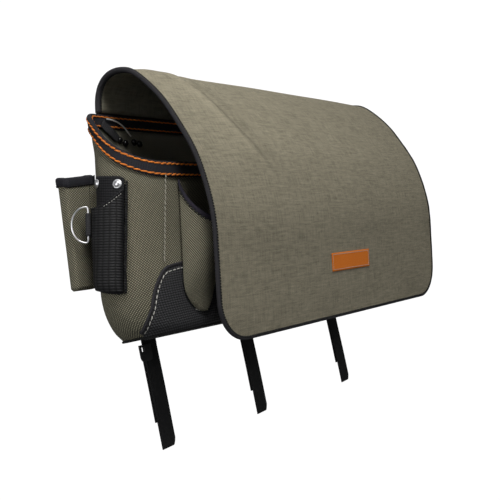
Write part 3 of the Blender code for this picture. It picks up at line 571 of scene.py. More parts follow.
def catmull(points, count):
    pts = [np.array(p, float) for p in points]
    ext = [2 * pts[0] - pts[1]] + pts + [2 * pts[-1] - pts[-2]]
    dense = []
    for i in range(1, len(ext) - 2):
        p0, p1, p2, p3 = ext[i - 1:i + 3]
        for k in range(40):
            t = k / 40
            dense.append(0.5 * (2 * p1 + (p2 - p0) * t + (2 * p0 - 5 * p1 + 4 * p2 - p3) * t * t + (3 * p1 - p0 - 3 * p2 + p3) * t ** 3))
    dense.append(pts[-1])
    dense = np.array(dense)
    s = arc(dense)
    want = np.linspace(0, s[-1], count)
    return np.stack([np.interp(want, s, dense[:, k]) for k in range(2)], 1), s[-1]


LINE, ARC = catmull(COVER_PROFILE, 421)
# ease the small kinks between the profile's points
for _ in range(60):
    LINE[2:-2] = 0.5 * LINE[2:-2] + 0.25 * (LINE[1:-3] + LINE[3:-1])
TAN = np.gradient(LINE, axis=0)
TAN /= np.linalg.norm(TAN, axis=1)[:, None]
NOR = np.stack([TAN[:, 1], -TAN[:, 0]], 1)
SS = np.linspace(0, ARC, len(LINE))


def cover_xyz(x, s, depth):
    """Points on the cover at x, arc length s and depth below its outer face (mm)."""
    x, s, depth = np.broadcast_arrays(np.asarray(x, float), np.asarray(s, float), np.asarray(depth, float))
    y = np.interp(s, SS, LINE[:, 0]) - np.interp(s, SS, NOR[:, 0]) * depth
    h = np.interp(s, SS, LINE[:, 1]) - np.interp(s, SS, NOR[:, 1]) * depth
    return M(x, y, h)


def cover_normal(s):
    s = np.asarray(s, float)
    n = np.stack([np.zeros_like(s), np.interp(s, SS, NOR[:, 0]), np.interp(s, SS, NOR[:, 1])], -1)
    return n / np.linalg.norm(n, axis=-1)[..., None]


def ripple(x, s):
    """Small hand of the cloth over its stiffener, in mm: never reaches the edge."""
    edge = np.clip((COVER_HALF - np.abs(x)) / 40.0, 0, 1) * np.clip(s / 40.0, 0, 1) * np.clip((ARC - s) / 40.0, 0, 1)
    edge = edge * edge * (3 - 2 * edge)
    r = 0.5 + 0.5 * np.sin(x / 88.0 + 0.8 * np.sin(s / 70.0)) * np.sin(s / 95.0 + 0.4)
    r = r + 0.25 + 0.25 * np.sin(x / 37.0 + s / 60.0 + 1.3)
    # one soft crease running down from the upper left
    cx, cs = x + 209.0 - (s - 150.0) * 0.42 - 8 * np.sin(s / 40.0), (s - 165.0) / 85.0
    side = np.where(cx < 0, np.exp(-(cx / 34.0) ** 2), np.exp(-(cx / 9.5) ** 2))
    r = r + 4.6 * side * np.exp(-cs ** 4) + 1.3 * np.exp(-((cx - 30.0) / 13.0) ** 2 - cs ** 4)
    # a slight pull where the sheet turns over the left end
    r = r + 1.3 * np.exp(-((x + 262.0) / 16.0) ** 2 - ((s - 92.0) / 34.0) ** 2)
    return -r * edge


def half_width(s, margin):
    end, radius = ARC - margin, COVER_CORNER - margin
    into = np.clip(s - (end - radius), 0, radius)
    return COVER_HALF - margin - radius + np.sqrt(np.maximum(0, radius ** 2 - into ** 2))


def cover_sheet(name, margin, depth, mat, rows, cols, flip, wavy):
    end, radius = ARC - margin, COVER_CORNER - margin
    s = np.concatenate([np.linspace(0, end - radius, rows), end - radius + radius * np.sin(np.linspace(0, np.pi / 2, 16)[1:])])
    k = np.linspace(-1, 1, cols)
    half = half_width(s, margin)
    half[-1] = max(half[-1], COVER_HALF - COVER_CORNER)
    X = half[:, None] * k[None]
    S = np.repeat(s[:, None], cols, 1)
    D = depth + wavy * ripple(X, S)
    return grid(name, cover_xyz(X, S, D), X * 0.001, S * 0.001, mat, flip=flip)


cloth = cover_sheet("cover_cloth", 1.2, 0.55, KHAKI_COVER, 110, 150, False, 1.0)
thick(cloth, 0.7)
place(cloth, "cover", "khaki_cover", "cover_panel")
lining = cover_sheet("cover_lining_sheet", 2.5, 3.7, LINING, 70, 60, True, 0.0)
thick(lining, 0.5)
place(lining, "cover", "lining", "cover_lining")


def cover_edge(inset, n_side=150, n_arc=22, n_low=160):
    """The cover's outline in (x, s), inset from its edge."""
    plain = ARC - COVER_CORNER
    left = [(-COVER_HALF + inset, s) for s in np.linspace(0, plain, n_side)]
    r = COVER_CORNER - inset
    a = np.linspace(0, np.pi / 2, n_arc)[1:-1]
    turn = [(-COVER_HALF + COVER_CORNER - r * math.cos(t), plain + r * math.sin(t)) for t in a]
    low = [(x, ARC - inset) for x in np.linspace(-COVER_HALF + COVER_CORNER, COVER_HALF - COVER_CORNER, n_low)]
    back = [(-x, s) for x, s in reversed(turn)]
    right = [(-x, s) for x, s in reversed(left)]
    return np.array(left + turn + low + back + right)


# the binding tape wraps the edge: a rounded U of cloth, swept round the outline
section = []
for ins, dep in ((2.4, 0.0), (2.2, -0.45), (1.7, -0.65), (0.9, -0.5), (0.25, 0.1), (0.0, 1.2), (0.0, 2.6),
                 (0.4, 3.7), (1.5, 4.5), (3.5, 4.7), (5.6, 4.5), (6.0, 4.1)):
    section.append((ins, dep))
edges = [cover_edge(ins) for ins, _ in section]
P = np.stack([cover_xyz(e[:, 0], e[:, 1], dep) for e, (_, dep) in zip(edges, section)], 0)
mid_run = arc(P[len(section) // 2])
lump = wob(P, 0.012, 3) * 0.00028
nrm = cover_normal(edges[0][:, 1])[None] * np.sign(2.0 - np.array([d for _, d in section]))[:, None, None]
P = P + nrm * lump[..., None]
Vc = np.linspace(0, 0.017, len(section))[:, None].repeat(P.shape[1], 1)
Uc = np.repeat(mid_run[None], len(section), 0)
bind = grid("cover_edge_tape", P, Vc, Uc, BINDING, flip=True)
thick(bind, 0.7, 0.0)
place(bind, "cover", "black_webbing", "cover_binding")
runs = []
for ins, dep, sign in ((3.1, -0.45, 1), (5.4, 4.9, -1)):
    e = cover_edge(ins)
    runs.append((cover_xyz(e[:, 0], e[:, 1], dep), cover_normal(e[:, 1]) * sign))
st = stitches("cover_edge_stitches", runs, 3.3, 3.3, 2.7, 2.3, DARKT, slant=0.55, seed=4)
place(st, "cover", "black_webbing")

# blank sewn label
lx, ls = np.meshgrid(np.linspace(-43.5, 66.5, 60), np.linspace(379.0, 404.5, 20))
lab = grid("cover_patch", cover_xyz(lx, ls, ripple(lx, ls) - 0.55), lx * 0.001, ls * 0.001, PATCH)
thick(lab, 0.7)
place(lab, "cover", "orange", "cover_label")
bx = np.concatenate([np.linspace(-41, 64, 60), np.full(16, 64.0), np.linspace(64, -41, 60), np.full(16, -41.0)])
bs = np.concatenate([np.full(60, 381.3), np.linspace(381.3, 402.2, 16), np.full(60, 402.2), np.linspace(402.2, 381.3, 16)])
st = stitches("cover_patch_stitches", [(cover_xyz(bx, bs, ripple(bx, bs) - 1.0), cover_normal(bs))], 3.0, 2.3, 0.8, 0.7, WHITE, seed=5)
place(st, "cover", "orange")

# sewn fold between the back panel and the cover: a fixed strip of cloth, slightly bent, across the hinge line
hy = np.array([-1.6, -1.6, -1.7, -2.1, -2.4, -2.8, -3.3])
hh = np.array([-12.0, -7.0, -3.0, -0.5, 1.5, 3.5, 6.5])
hx = np.linspace(-299.4, 299.4, 60)
P = M(hx[None], hy[:, None] * 1.0, hh[:, None])
fold = grid("cover_fold_tape", P, hx[None].repeat(7, 0) * 0.001, hh[:, None].repeat(60, 1) * 0.001, BINDING)
thick(fold, 0.8)
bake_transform(fold)

# ---------------------------------------------------------------------------
# Bag body
# ---------------------------------------------------------------------------


def outline(n_front=64, n_end=44):
    """Entries (straight x, end factor, depth factor, angle) round the plan, anticlockwise from the front left."""
    rows = []
    for i in range(n_front):
        rows.append((-END_X + 2 * END_X * i / n_front, 0.0, -1.0, 0.0))
    for i in range(n_end + 1):
        a = math.pi * i / n_end
        rows.append((END_X, math.sin(a), -math.cos(a), a))
    for i in range(1, n_front):
        rows.append((END_X - 2 * END_X * i / n_front, 0.0, 1.0, math.pi))
    for i in range(n_end):
        a = math.pi - math.pi * i / n_end
        rows.append((-END_X, -math.sin(a), -math.cos(a), a))
    return np.array(rows)


def plan(e, h, inset=0.0):
    """Bag outside at height h moved in by inset; e is (..., 4) outline entries."""
    corner = 12.0
    swell = table(SWELL, h, 9.0) - inset
    lift = np.clip(BOTTOM + corner - h, 0, corner)
    tuck = corner - np.sqrt(np.maximum(0, corner ** 2 - lift ** 2))
    back, front = Y_BACK - inset, FRONT + inset + tuck * 0.8
    mid, semi = (back + front) / 2, (back - front) / 2
    return e[..., 0] + swell * e[..., 1], mid + semi * e[..., 2]


OUT = outline()
YR = (Y_BACK + FRONT) / 2 + (Y_BACK - FRONT) / 2 * OUT[:, 2]
RIMH = rim(YR)


def plan_normal(e, h):
    """Outward plan normal for outline entries."""
    swell = table(SWELL, h, 9.0)
    semi = (Y_BACK - FRONT) / 2
    n = np.stack([e[..., 1] * semi, e[..., 2] * np.maximum(swell, 30.0), np.zeros_like(e[..., 0])], -1)
    return n / np.linalg.norm(n, axis=-1)[..., None]


SEAM = [(-290.0, 31.0), (-208.0, 26.6), (-185.0, 23.8), (-160.0, 20.4), (-135.0, 16.4), (-115.0, 12.6), (-95.0, 8.5)]       # angle of the end's upright seam at each height


def seam_angle(h):
    return np.radians(table(SEAM, h, 10.0))


def skin(e, h):
    """How far the cloth stands off the plain shape (mm)."""
    a = e[..., 3]
    d = np.zeros_like(h)
    near = (a - seam_angle(h)) * 85.0
    d = d - 1.9 * np.exp(-((near + 3.0) / 2.0) ** 2) + 1.1 * np.exp(-((near - 4.0) / 6.0) ** 2)
    return d


def bag_surface(name, inset, mat, flip, lumps, rows):
    t = np.linspace(0, 1, rows)
    t = t ** 1.25
    E = np.repeat(OUT[None], rows, 0)
    Hh = BOTTOM + (RIMH[None] - 1.2 - BOTTOM) * t[:, None] + (inset if inset > 0 else 0) * (1 - t[:, None])
    x, y = plan(E, Hh, inset)
    P = M(x, y, Hh)
    n = plan_normal(E, Hh)
    fade = np.clip((RIMH[None] - 22 - Hh) / 25.0, 0, 1) * np.clip((Hh - BOTTOM) / 30.0, 0, 1)
    back = np.clip((Y_BACK - inset - y) / 12.0, 0, 1)
    d = skin(E, Hh) * np.clip((RIMH[None] - 18 - Hh) / 10.0, 0, 1)
    if lumps:
        d = d + wob(P, 0.075, 1) * 2.0 * fade + wob(P * np.array([1, 1, 0.4]), 0.028, 2) * 0.9 * fade
        # cloth pinched under the rim band
        d = d - 0.9 * np.exp(-((RIMH[None] - 23 - Hh) / 5.0) ** 2)
    P = P + n * (d * back * 0.001)[..., None]
    # floor rows
    floor_rows = []
    for extra in (3.0, 8.0, 16.0, 28.0, 44.0):
        x, y = plan(OUT, np.full(len(OUT), BOTTOM), inset + extra)
        floor_rows.append(M(x, y, BOTTOM + (inset if inset > 0 else -0.4)))
    P = np.concatenate([np.array(floor_rows[::-1]), P], 0)
    run = np.concatenate([[0], np.cumsum(np.linalg.norm(np.diff(np.concatenate([M(*plan(OUT, np.full(len(OUT), -150.0)), -150.0), M(*plan(OUT[:1], np.full(1, -150.0)), -150.0)]), axis=0), axis=1))])
    U = np.repeat(run[None], len(P), 0)
    V = np.concatenate([-np.array([44.0, 28, 16, 8, 3])[:, None].repeat(len(run), 1) * 0.001 + BOTTOM * 0.001,
                        np.concatenate([Hh, Hh[:, :1]], 1) * 0.001], 0)
    ob = grid(name, P, U, V, mat, loop=True, flip=flip)
    bm = bmesh.new()
    bm.from_mesh(ob.data)
    bm.verts.ensure_lookup_table()
    ring = [bm.verts[i] for i in range(len(OUT))]
    bm.faces.new(ring if flip else ring[::-1])
    bm.to_mesh(ob.data)
    bm.free()
    ob.data.shade_smooth()
    return ob


outer = bag_surface("bag_cloth", 0.0, KHAKI, False, True, 80)
thick(outer, 0.9, -1.0)
place(outer, "bag", "khaki", "bag_shell")
inner = bag_surface("bag_inner_cloth", WALL, INNER, True, False, 30)
thick(inner, 0.7, -1.0)
place(inner, "bag", "lining")

# rim band: webbing folded over the rim
legs = np.clip((np.pi - OUT[:, 3]) / 0.30, 0, 1)
L_out = 1.6 + (BAND_H - 1.6) * legs * legs * (3 - 2 * legs)
rows = []
run_v = []
for k in np.linspace(0, 1, 9):
    rows.append((-1.4, RIMH - 2.0 - (L_out - 2.0).clip(0) * (1 - k)))
    run_v.append(k * 17)
for a in np.linspace(0, np.pi, 7)[1:-1]:
    rows.append((1.2 - 2.6 * math.cos(a), RIMH - 2.0 + 2.1 * math.sin(a)))
    run_v.append(17 + a / np.pi * 8)
for k in np.linspace(0, 1, 9):
    rows.append((3.8, RIMH - 2.0 - (BAND_H - 2.4) * k))
    run_v.append(25 + k * 17)
P = []
for inset, Hh in rows:
    x, y = plan(OUT, Hh, inset)
    P.append(M(x, y, Hh))
P = np.array(P)
P = P + plan_normal(OUT, np.full(len(OUT), -60.0))[None] * (wob(P, 0.03, 7) * 0.0003)[..., None]
run = np.concatenate([arc(np.concatenate([P[4], P[4][:1]]))])
U = np.repeat(run[None], len(P), 0)
V = np.array(run_v)[:, None].repeat(len(run), 1) * 0.001
band = grid("rim_webbing_band", P, V, U, BAND, loop=True)
thick(band, 1.1)
place(band, "bag", "black_webbing", "rim_band_outer", "rim_band_inner")

# orange rows: outside round the front and ends, inside all round
front_run = [i for i in range(len(OUT)) if OUT[i][3] < np.pi - 0.16]
start = next(i for i in range(len(OUT)) if OUT[i][0] < 0 and OUT[i][1] < 0 and OUT[i][3] < np.pi - 0.16)
order = list(range(start, len(OUT))) + [i for i in range(start) if OUT[i][3] < np.pi - 0.16 or OUT[i][0] > 0 and OUT[i][1] > 0 and OUT[i][3] < np.pi - 0.16]
order = [i for i in order if OUT[i][3] < np.pi - 0.16]


def dense(pts, n=6):
    """More points on a smooth run, so that stitches follow it."""
    s = arc(pts)
    want = np.linspace(0, s[-1], len(pts) * n)
    return np.stack([np.interp(want, s, pts[:, k]) for k in range(3)], 1)


runs_out, runs_in = [], []
for drop in (3.4, 16.4):
    Hh = RIMH[order] - drop
    x, y = plan(OUT[order], Hh, -2.2)
    runs_out.append((M(x, y, Hh), plan_normal(OUT[order], Hh)))
loop = list(range(len(OUT))) + [0]
for drop in (3.6, 15.8):
    Hh = RIMH[loop] - drop
    x, y = plan(OUT[loop], Hh, 4.5)
    runs_in.append((M(x, y, Hh), -plan_normal(OUT[loop], Hh)))
st = stitches("rim_orange_stitches", runs_out, 8.3, 9.6, 2.3, 1.9, ORANGE, slant=0.17, seed=7)
place(st, "bag", "orange")
st = stitches("rim_orange_stitches_inside", runs_in, 8.3, 9.4, 2.2, 1.7, ORANGE, slant=-0.15, seed=8)
place(st, "bag", "orange")

# ---------------------------------------------------------------------------
# Mesh base panel, its piping and stitches
# ---------------------------------------------------------------------------
MESH_TOP = [(0.0, -211.0), (12.0, -211.5), (25.0, -214.0), (30.0, -219.0), (36.0, -231.0), (41.0, -244.0),
            (45.0, -257.0), (54.0, -269.0), (62.0, -277.0), (70.0, -281.5)]


def mesh_top(deg):
    return table(MESH_TOP, deg, 3.0)


ang = np.concatenate([np.linspace(70, 0, 44), np.zeros(60), np.linspace(0, 70, 44)])
basex = np.concatenate([np.full(44, -END_X), np.linspace(-END_X, END_X, 60), np.full(44, END_X)])
sgn = np.concatenate([np.full(44, -1.0), np.zeros(60), np.full(44, 1.0)])
ME = np.stack([basex, sgn * np.sin(np.radians(ang)), -np.cos(np.radians(ang)), np.radians(ang)], 1)
top = mesh_top(ang)
P = []
ts = np.linspace(0, 1, 40)
for t in ts:
    Hh = top + (BOTTOM - top) * (1 - (1 - t) ** 1.3)
    x, y = plan(ME, Hh, -1.5)
    P.append(M(x, y, Hh))
for extra, dh in ((3.0, -0.9), (9.0, -1.2), (18.0, -1.2)):
    x, y = plan(ME, np.full(len(ME), BOTTOM), extra)
    P.append(M(x, y, BOTTOM + dh))
P = np.array(P)
run = arc(M(*plan(ME, np.full(len(ME), -240.0)), -240.0))
V = np.concatenate([(top[None] + (BOTTOM - top[None]) * (1 - (1 - ts[:, None]) ** 1.3)) * 0.001,
                    (BOTTOM - np.array([3.0, 9.0, 18.0])[:, None].repeat(len(ME), 1)) * 0.001], 0)
base = grid("base_mesh_cloth", P, np.repeat(run[None], len(P), 0), V, MESH, flip=True)
thick(base, 1.0)
place(base, "bag", "black_mesh", "base_panel")
x, y = plan(ME, top + 0.6, -1.9)
pipe = tube("base_panel_piping", dense(M(x, y, top + 0.6), 2), 1.7, BINDING, sides=10)
place(pipe, "bag", "black_webbing")
n_me = plan_normal(ME, top)
deep = 5.2
nang, ntop = ang.copy(), top - deep
side_in = np.clip((ang - 22) / 16.0, 0, 1)
ntop = top - deep * (1 - side_in * 0.75)
nang = ang - np.degrees(3.8 / 85.0) * side_in * np.sign(1)
SE = np.stack([basex, sgn * np.sin(np.radians(np.clip(nang, 0, 90))), -np.cos(np.radians(np.clip(nang, 0, 90))), np.radians(np.clip(nang, 0, 90))], 1)
x, y = plan(SE, ntop, -2.2)
st = stitches("base_panel_stitches", [(dense(M(x, y, ntop), 2), np.repeat(plan_normal(SE, ntop), 2, 0))], 6.2, 4.9, 1.25, 1.0, WHITE, slant=0.08, seed=9)
place(st, "bag", "black_mesh")

x, y = plan(OUT, np.full(len(OUT), BOTTOM + 2.0), -0.4)
cordp = M(x, y, BOTTOM + 1.2)
ob = tube("foot_piping", cordp, 1.5, DARKT, closed=True, sides=10)
place(ob, "bag", "black_webbing")

# upright seams at both ends
runs = []
for side in (-1, 1):
    hs = np.linspace(-207.0, -104.0, 80)
    a = seam_angle(hs)
    E = np.stack([np.full(80, side * END_X), side * np.sin(a), -np.cos(a), a], 1)
    x, y = plan(E, hs, -1.7)
    runs.append((M(x, y, hs), plan_normal(E, hs)))
st = stitches("end_seam_stitches", runs, 6.4, 6.6, 1.7, 1.6, SEAMT, slant=0.24, seed=10)
place(st, "bag", "khaki")

# ---------------------------------------------------------------------------
# Front pockets
# ---------------------------------------------------------------------------
POCKET_LEAN, POCKET_HALF, POCKET_DEPTH, POCKET_BOTTOM = 0.235, 31.0, 29.0, -270.0


POUCH = [(-270.0, 0.03), (-262.0, 0.08), (-250.0, 0.20), (-237.0, 0.38), (-225.0, 0.56), (-210.0, 0.77), (-195.0, 0.92), (-175.0, 1.0)]


def pocket_xyz(xc, th, t, drop=0.0, out=0.0):
    lip = -112.0 - 52.0 * np.maximum(0, np.sin(th)) ** 0.75
    h = lip - drop
    h = h + (POCKET_BOTTOM - h) * t
    lean = xc + POCKET_LEAN * xc / 262.0 * (-125.0 - np.maximum(h, -245.0))
    u = np.maximum(0, (h - (POCKET_BOTTOM + 42.0)) / -42.0)
    ro = np.sqrt(np.maximum(0, 1 - u ** 2))
    half = 3.0 + (POCKET_HALF - 3.0) * ro + out
    depth = 2.5 + (POCKET_DEPTH - 2.5) * np.minimum(ro, table(POUCH, h, 5.0)) + out
    draw = 9.0 * np.clip((-212.0 - h) / 40.0, 0, 1) * np.clip(np.cos(th), 0, 1)
    return M(lean + half * np.cos(th) - draw, POCKET_Y - depth * np.sin(th), h), h


for i, xc in enumerate(POCKET_X, 1):
    th = np.linspace(0, np.pi, 49)[None]
    t = (1 - (1 - np.linspace(0, 1, 56)) ** 1.4)[:, None]
    th, t = np.broadcast_arrays(th, t)
    P, Hh = pocket_xyz(xc, th, t, 4.0)
    fade = np.sin(th) * np.clip(t * 6, 0, 1) * np.clip((1 - t) * 5, 0, 1)
    P[..., 1] += (wob(P + i, 0.045, 11) * 0.0011 + 0.0004) * fade
    P[..., 0] += wob(P + i, 0.05, 12) * 0.0010 * fade
    ob = grid("front_pocket_cloth_%d" % i, P, th * 0.034, Hh * 0.001, KHAKI)
    thick(ob, 1.2)
    place(ob, "bag", "khaki", "front_pocket_%d" % i)
    rows, vv = [], []
    for drop, out_ in ((6.6, 0.9), (6.0, 1.3), (4.2, 1.5), (2.2, 1.5), (0.6, 1.1), (-0.2, 0.3), (-0.2, -0.5), (0.8, -1.1), (4.0, -1.3), (7.5, -1.2)):
        q, _ = pocket_xyz(xc, th[:1], t[:1] * 0.0, drop, out_)
        rows.append(q[0])
        vv.append(drop)
    P = np.array(rows)
    run = arc(P[0])
    vrun = np.concatenate([[0], np.cumsum(np.linalg.norm(np.diff(P[:, 24], axis=0), axis=1))])
    ob = grid("front_pocket_tape_%d" % i, P, vrun[:, None].repeat(49, 1), np.repeat(run[None], len(P), 0), LIP, flip=True)
    thick(ob, 0.7)
    place(ob, "bag", "black_webbing", "front_pocket_binding_%d" % i)
    q, _ = pocket_xyz(xc, np.linspace(0.05, np.pi - 0.05, 120), np.zeros(120), 6.9, 1.5)
    nn = np.stack([np.cos(np.linspace(0.05, np.pi - 0.05, 120)), -np.sin(np.linspace(0.05, np.pi - 0.05, 120)), np.zeros(120)], 1)
    st = stitches("front_pocket_tape_stitches_%d" % i, [(q, nn)], 4.8, 5.2, 2.3, 2.0, DARKT, slant=0.5, seed=15 + i)
    place(st, "bag", "black_webbing")
    # pocket's foot sewn down to the panel
    tt = np.linspace(0.62, 1.0, 30)
    right, _ = pocket_xyz(xc, np.zeros(30), tt, 0.0, 2.2)
    left, _ = pocket_xyz(xc, np.full(30, np.pi), tt, 0.0, 2.2)
    right[:, 1] = left[:, 1] = (POCKET_Y + 0.5) * 0.001
    foot = np.concatenate([right, left[::-1][:3]])
    foot = foot[np.concatenate([[True], np.linalg.norm(np.diff(foot, axis=0), axis=1) > 1e-5])]
    low = foot[:, 2] < (POCKET_BOTTOM + 8 + HZ) * 0.001
    foot[low, 2] = np.maximum(foot[low, 2], (POCKET_BOTTOM - 3.0 + HZ) * 0.001)
    st = stitches("front_pocket_stitches_%d" % i, [(foot, np.tile((0, -1.0, 0), (len(foot), 1)))], 4.6, 3.6, 1.0, 0.8, WHITE, seed=20 + i)
    place(st, "bag", "khaki")

# ---------------------------------------------------------------------------
# End pockets
# ---------------------------------------------------------------------------
SIDE_TOP, SIDE_LOW, SIDE_BAND = -89.0, -219.0, 10.0


def side_ring(side, h, inset, n=10, open_=0.0):
    t = (SIDE_TOP - h) / (SIDE_TOP - SIDE_LOW)
    x0, x1 = -390.0 - 13.0 * t + inset, -345.5 - 24.0 * t - inset
    thin = 2.0 * t
    y0, y1 = -22.5 + inset + thin - open_, -4.5 - inset - thin
    r = max(1.0, 5.0 - inset)
    pts = []
    for cx, cy, a0 in ((x1 - r, y1 - r, 0), (x0 + r, y1 - r, 90), (x0 + r, y0 + r, 180), (x1 - r, y0 + r, 270)):
        for k in range(n + 1):
            a = math.radians(a0 + 90 * k / n)
            pts.append((cx + r * math.cos(a), cy + r * math.sin(a)))
        if a0 in (0, 180):      # extra points along the wide faces, gently crowned
            nx = x0 + r if a0 == 0 else x1 - r
            px = x1 - r if a0 == 0 else x0 + r
            for k in range(1, 8):
                f = k / 8
                bow = 1.3 * math.sin(math.pi * f) * math.sin(math.pi * min(1, max(0, t + 0.1)))
                pts.append((px + (nx - px) * f, (y1 + bow * 0.4) if a0 == 0 else (y0 - bow)))
    pts = np.array(pts)
    pts[:, 0] *= -side
    # the front lip hangs a little lower than the rear one
    near_top = np.clip((h - (SIDE_TOP - 60.0)) / 44.0, 0, 1)
    dip = 4.4 * np.clip((pts[:, 1] + 13.5) / -9.0, 0, 1)
    rise = 2.0 + 4.0 * np.clip((390.0 - np.abs(pts[:, 0])) / 45.0, 0, 1)
    return M(pts[:, 0], pts[:, 1], h + (rise - dip) * near_top)


for side, word in ((-1, "left"), (1, "right")):
    s_ = -side
    hs = np.concatenate([np.linspace(SIDE_LOW, SIDE_LOW + 4, 5), np.linspace(SIDE_LOW + 8, SIDE_TOP - 20, 26), np.linspace(SIDE_TOP - 15.9, SIDE_TOP - 1.0, 5)])
    outer_r = [side_ring(s_ * -1 if False else -side * -1, h, max(0.0, 3.0 - (h - SIDE_LOW)) * 0.8) for h in hs]
    inner_r = [side_ring(side, max(h, SIDE_LOW + 1.6), 1.5 + max(0.0, 3.0 - (h - SIDE_LOW)) * 0.8) for h in hs[::-1]]
    outer_r = [side_ring(side, h, max(0.0, 3.0 - (h - SIDE_LOW)) * 0.8) for h in hs]
    rr = outer_r + inner_r
    P = np.array(rr)
    P[:, :, 1] += wob(P + 5 * side, 0.05, 15) * 0.0011 * np.clip(np.concatenate([np.linspace(0, 2, len(hs)), np.linspace(2, 0, len(hs))]), 0, 1)[:, None]
    run = arc(np.concatenate([P[10], P[10][:1]]))
    V = np.array([[p[:, 2].max()] for p in P])
    V = np.concatenate([P[:, :, 2], P[:, :1, 2]], 1)
    ob = grid("side_pocket_cloth_" + word, P, np.repeat(run[None], len(P), 0), V, KHAKI, loop=True)
    bm = bmesh.new()
    bm.from_mesh(ob.data)
    bmesh.ops.holes_fill(bm, edges=[e for e in bm.edges if e.is_boundary], sides=0)
    bmesh.ops.recalc_face_normals(bm, faces=bm.faces)
    bm.to_mesh(ob.data)
    bm.free()
    place(ob, "bag", "khaki", "side_pocket_" + word)
    rows = []
    for drop, inset in ((SIDE_BAND, -0.9), (SIDE_BAND * 0.6, -1.5), (2.0, -1.6), (0.4, -1.3), (-0.5, -0.3), (-0.5, 0.8), (0.4, 2.0), (2.5, 2.4), (SIDE_BAND - 1, 2.3)):
        rows.append(side_ring(side, SIDE_TOP - drop, inset))
    P = np.array(rows)
    P[:, :, :] += (wob(P, 0.02, 16) * 0.00035)[..., None]
    run = arc(np.concatenate([P[1], P[1][:1]]))
    vrun = np.concatenate([[0], np.cumsum(np.linalg.norm(np.diff(P[:, 5], axis=0), axis=1))])
    ob = grid("side_pocket_tape_" + word, P, vrun[:, None].repeat(len(run), 1), np.repeat(run[None], len(P), 0), BAND, loop=True)
    thick(ob, 0.8)
    place(ob, "bag", "black_webbing", "side_pocket_binding_" + word)
    P = side_ring(side, SIDE_TOP - SIDE_BAND + 1.2, -1.9)
    nr = P - P.mean(0)
    nr[:, 2] = 0
    nr[:, 0] *= 0.35
    nr /= np.linalg.norm(nr, axis=1)[:, None]
    st = stitches("side_pocket_tape_stitches_" + word, [(np.concatenate([P, P[:1]]), np.concatenate([nr, nr[:1]]))], 3.6, 3.3, 1.3, 1.0, DARKT, slant=0.5, seed=30)
    place(st, "bag", "black_webbing")

# sewn flap that carries each side pocket on the end of the bag
for side, word in ((-1, "left"), (1, "right")):
    for part, h0, h1, mat, slot_ in (("cloth", -213.0, -96.0, KHAKI, "khaki"), ("tape", -98.0, -87.2, BAND, "black_webbing")):
        hs = np.linspace(h0, h1, 40 if part == "cloth" else 8)
        out_ = 0.4 if part == "cloth" else 1.7
        rows = []
        for h in hs:
            t = (SIDE_TOP - h) / (SIDE_TOP - SIDE_LOW)
            x1, y0 = -345.5 - 24.0 * t, -22.5 + 2.0 * t
            sw = float(table(SWELL, h, 9.0))
            pts = [(x1 - 9.0, y0 - 0.5 - out_), (x1 - 4.0, y0 - 0.7 - out_)]
            for deg in (123.0, 119.5, 116.5):
                a = math.radians(deg)
                semi = (Y_BACK - FRONT) / 2
                nx_, ny_ = -semi * math.sin(a), -sw * math.cos(a)
                ln = math.hypot(nx_, ny_)
                pts.append((-END_X - sw * math.sin(a) + nx_ / ln * (0.7 + out_), (Y_BACK + FRONT) / 2 - semi * math.cos(a) + ny_ / ln * (0.7 + out_)))
            pts = np.array(pts)
            sarc = arc(pts)
            want = np.linspace(0, sarc[-1], 14)
            q = np.stack([np.interp(want, sarc, pts[:, k]) for k in range(2)], 1)
            for _ in range(4):
                q[1:-1] = 0.5 * q[1:-1] + 0.25 * (q[:-2] + q[2:])
            rows.append(M(q[:, 0] * -side, q[:, 1], h))
        P = np.array(rows)
        U = np.repeat(arc(P[0])[None], len(P), 0)
        ob = grid("side_pocket_flap_%s_%s" % (part, word), P, U, (hs * 0.001)[:, None].repeat(14, 1), mat, flip=side > 0)
        thick(ob, 0.9)
        place(ob, "bag", slot_)

# ---------------------------------------------------------------------------
# Tool sheath on the left end
# ---------------------------------------------------------------------------
S_W_, S_L, S_H, S_ROOT = 43.0, 136.0, -95.7, 1.3
MID_Y, SEMI_Y = (Y_BACK + FRONT) / 2, (Y_BACK - FRONT) / 2


def sh(u, v, w):
    """Sheath coordinates wrapped round the bag's left end: across, down, out."""
    u, v, w = np.broadcast_arrays(np.asarray(u, float), np.asarray(v, float), np.asarray(w, float))
    h = S_H - 0.985 * v - 0.284 * u
    k = v / S_L
    front, rear = 60.8 + 6.9 * k, 112.0 + 2.0 * k
    t = np.radians((front + rear) / 2 - u / (S_W_ / 2) * (rear - front) / 2)
    sw = table(SWELL, h, 3.0)
    nx, ny = -SEMI_Y * np.sin(t), -sw * np.cos(t)
    ln = np.hypot(nx, ny)
    off = S_ROOT + w
    return M(-END_X - sw * np.sin(t) + nx / ln * off, MID_Y - SEMI_Y * np.cos(t) + ny / ln * off, h)


def sh_out(u, v):
    """Direction square to the sheath, out of the bag."""
    u, v = np.broadcast_arrays(np.asarray(u, float), np.asarray(v, float))
    n = np.cross(sh(u + 2.0, v, 1.0) - sh(u - 2.0, v, 1.0), sh(u, v + 4.0, 1.0) - sh(u, v - 4.0, 1.0))
    n = n / np.linalg.norm(n, axis=-1)[..., None]
    return np.where(n[..., :1] < 0, n, -n)


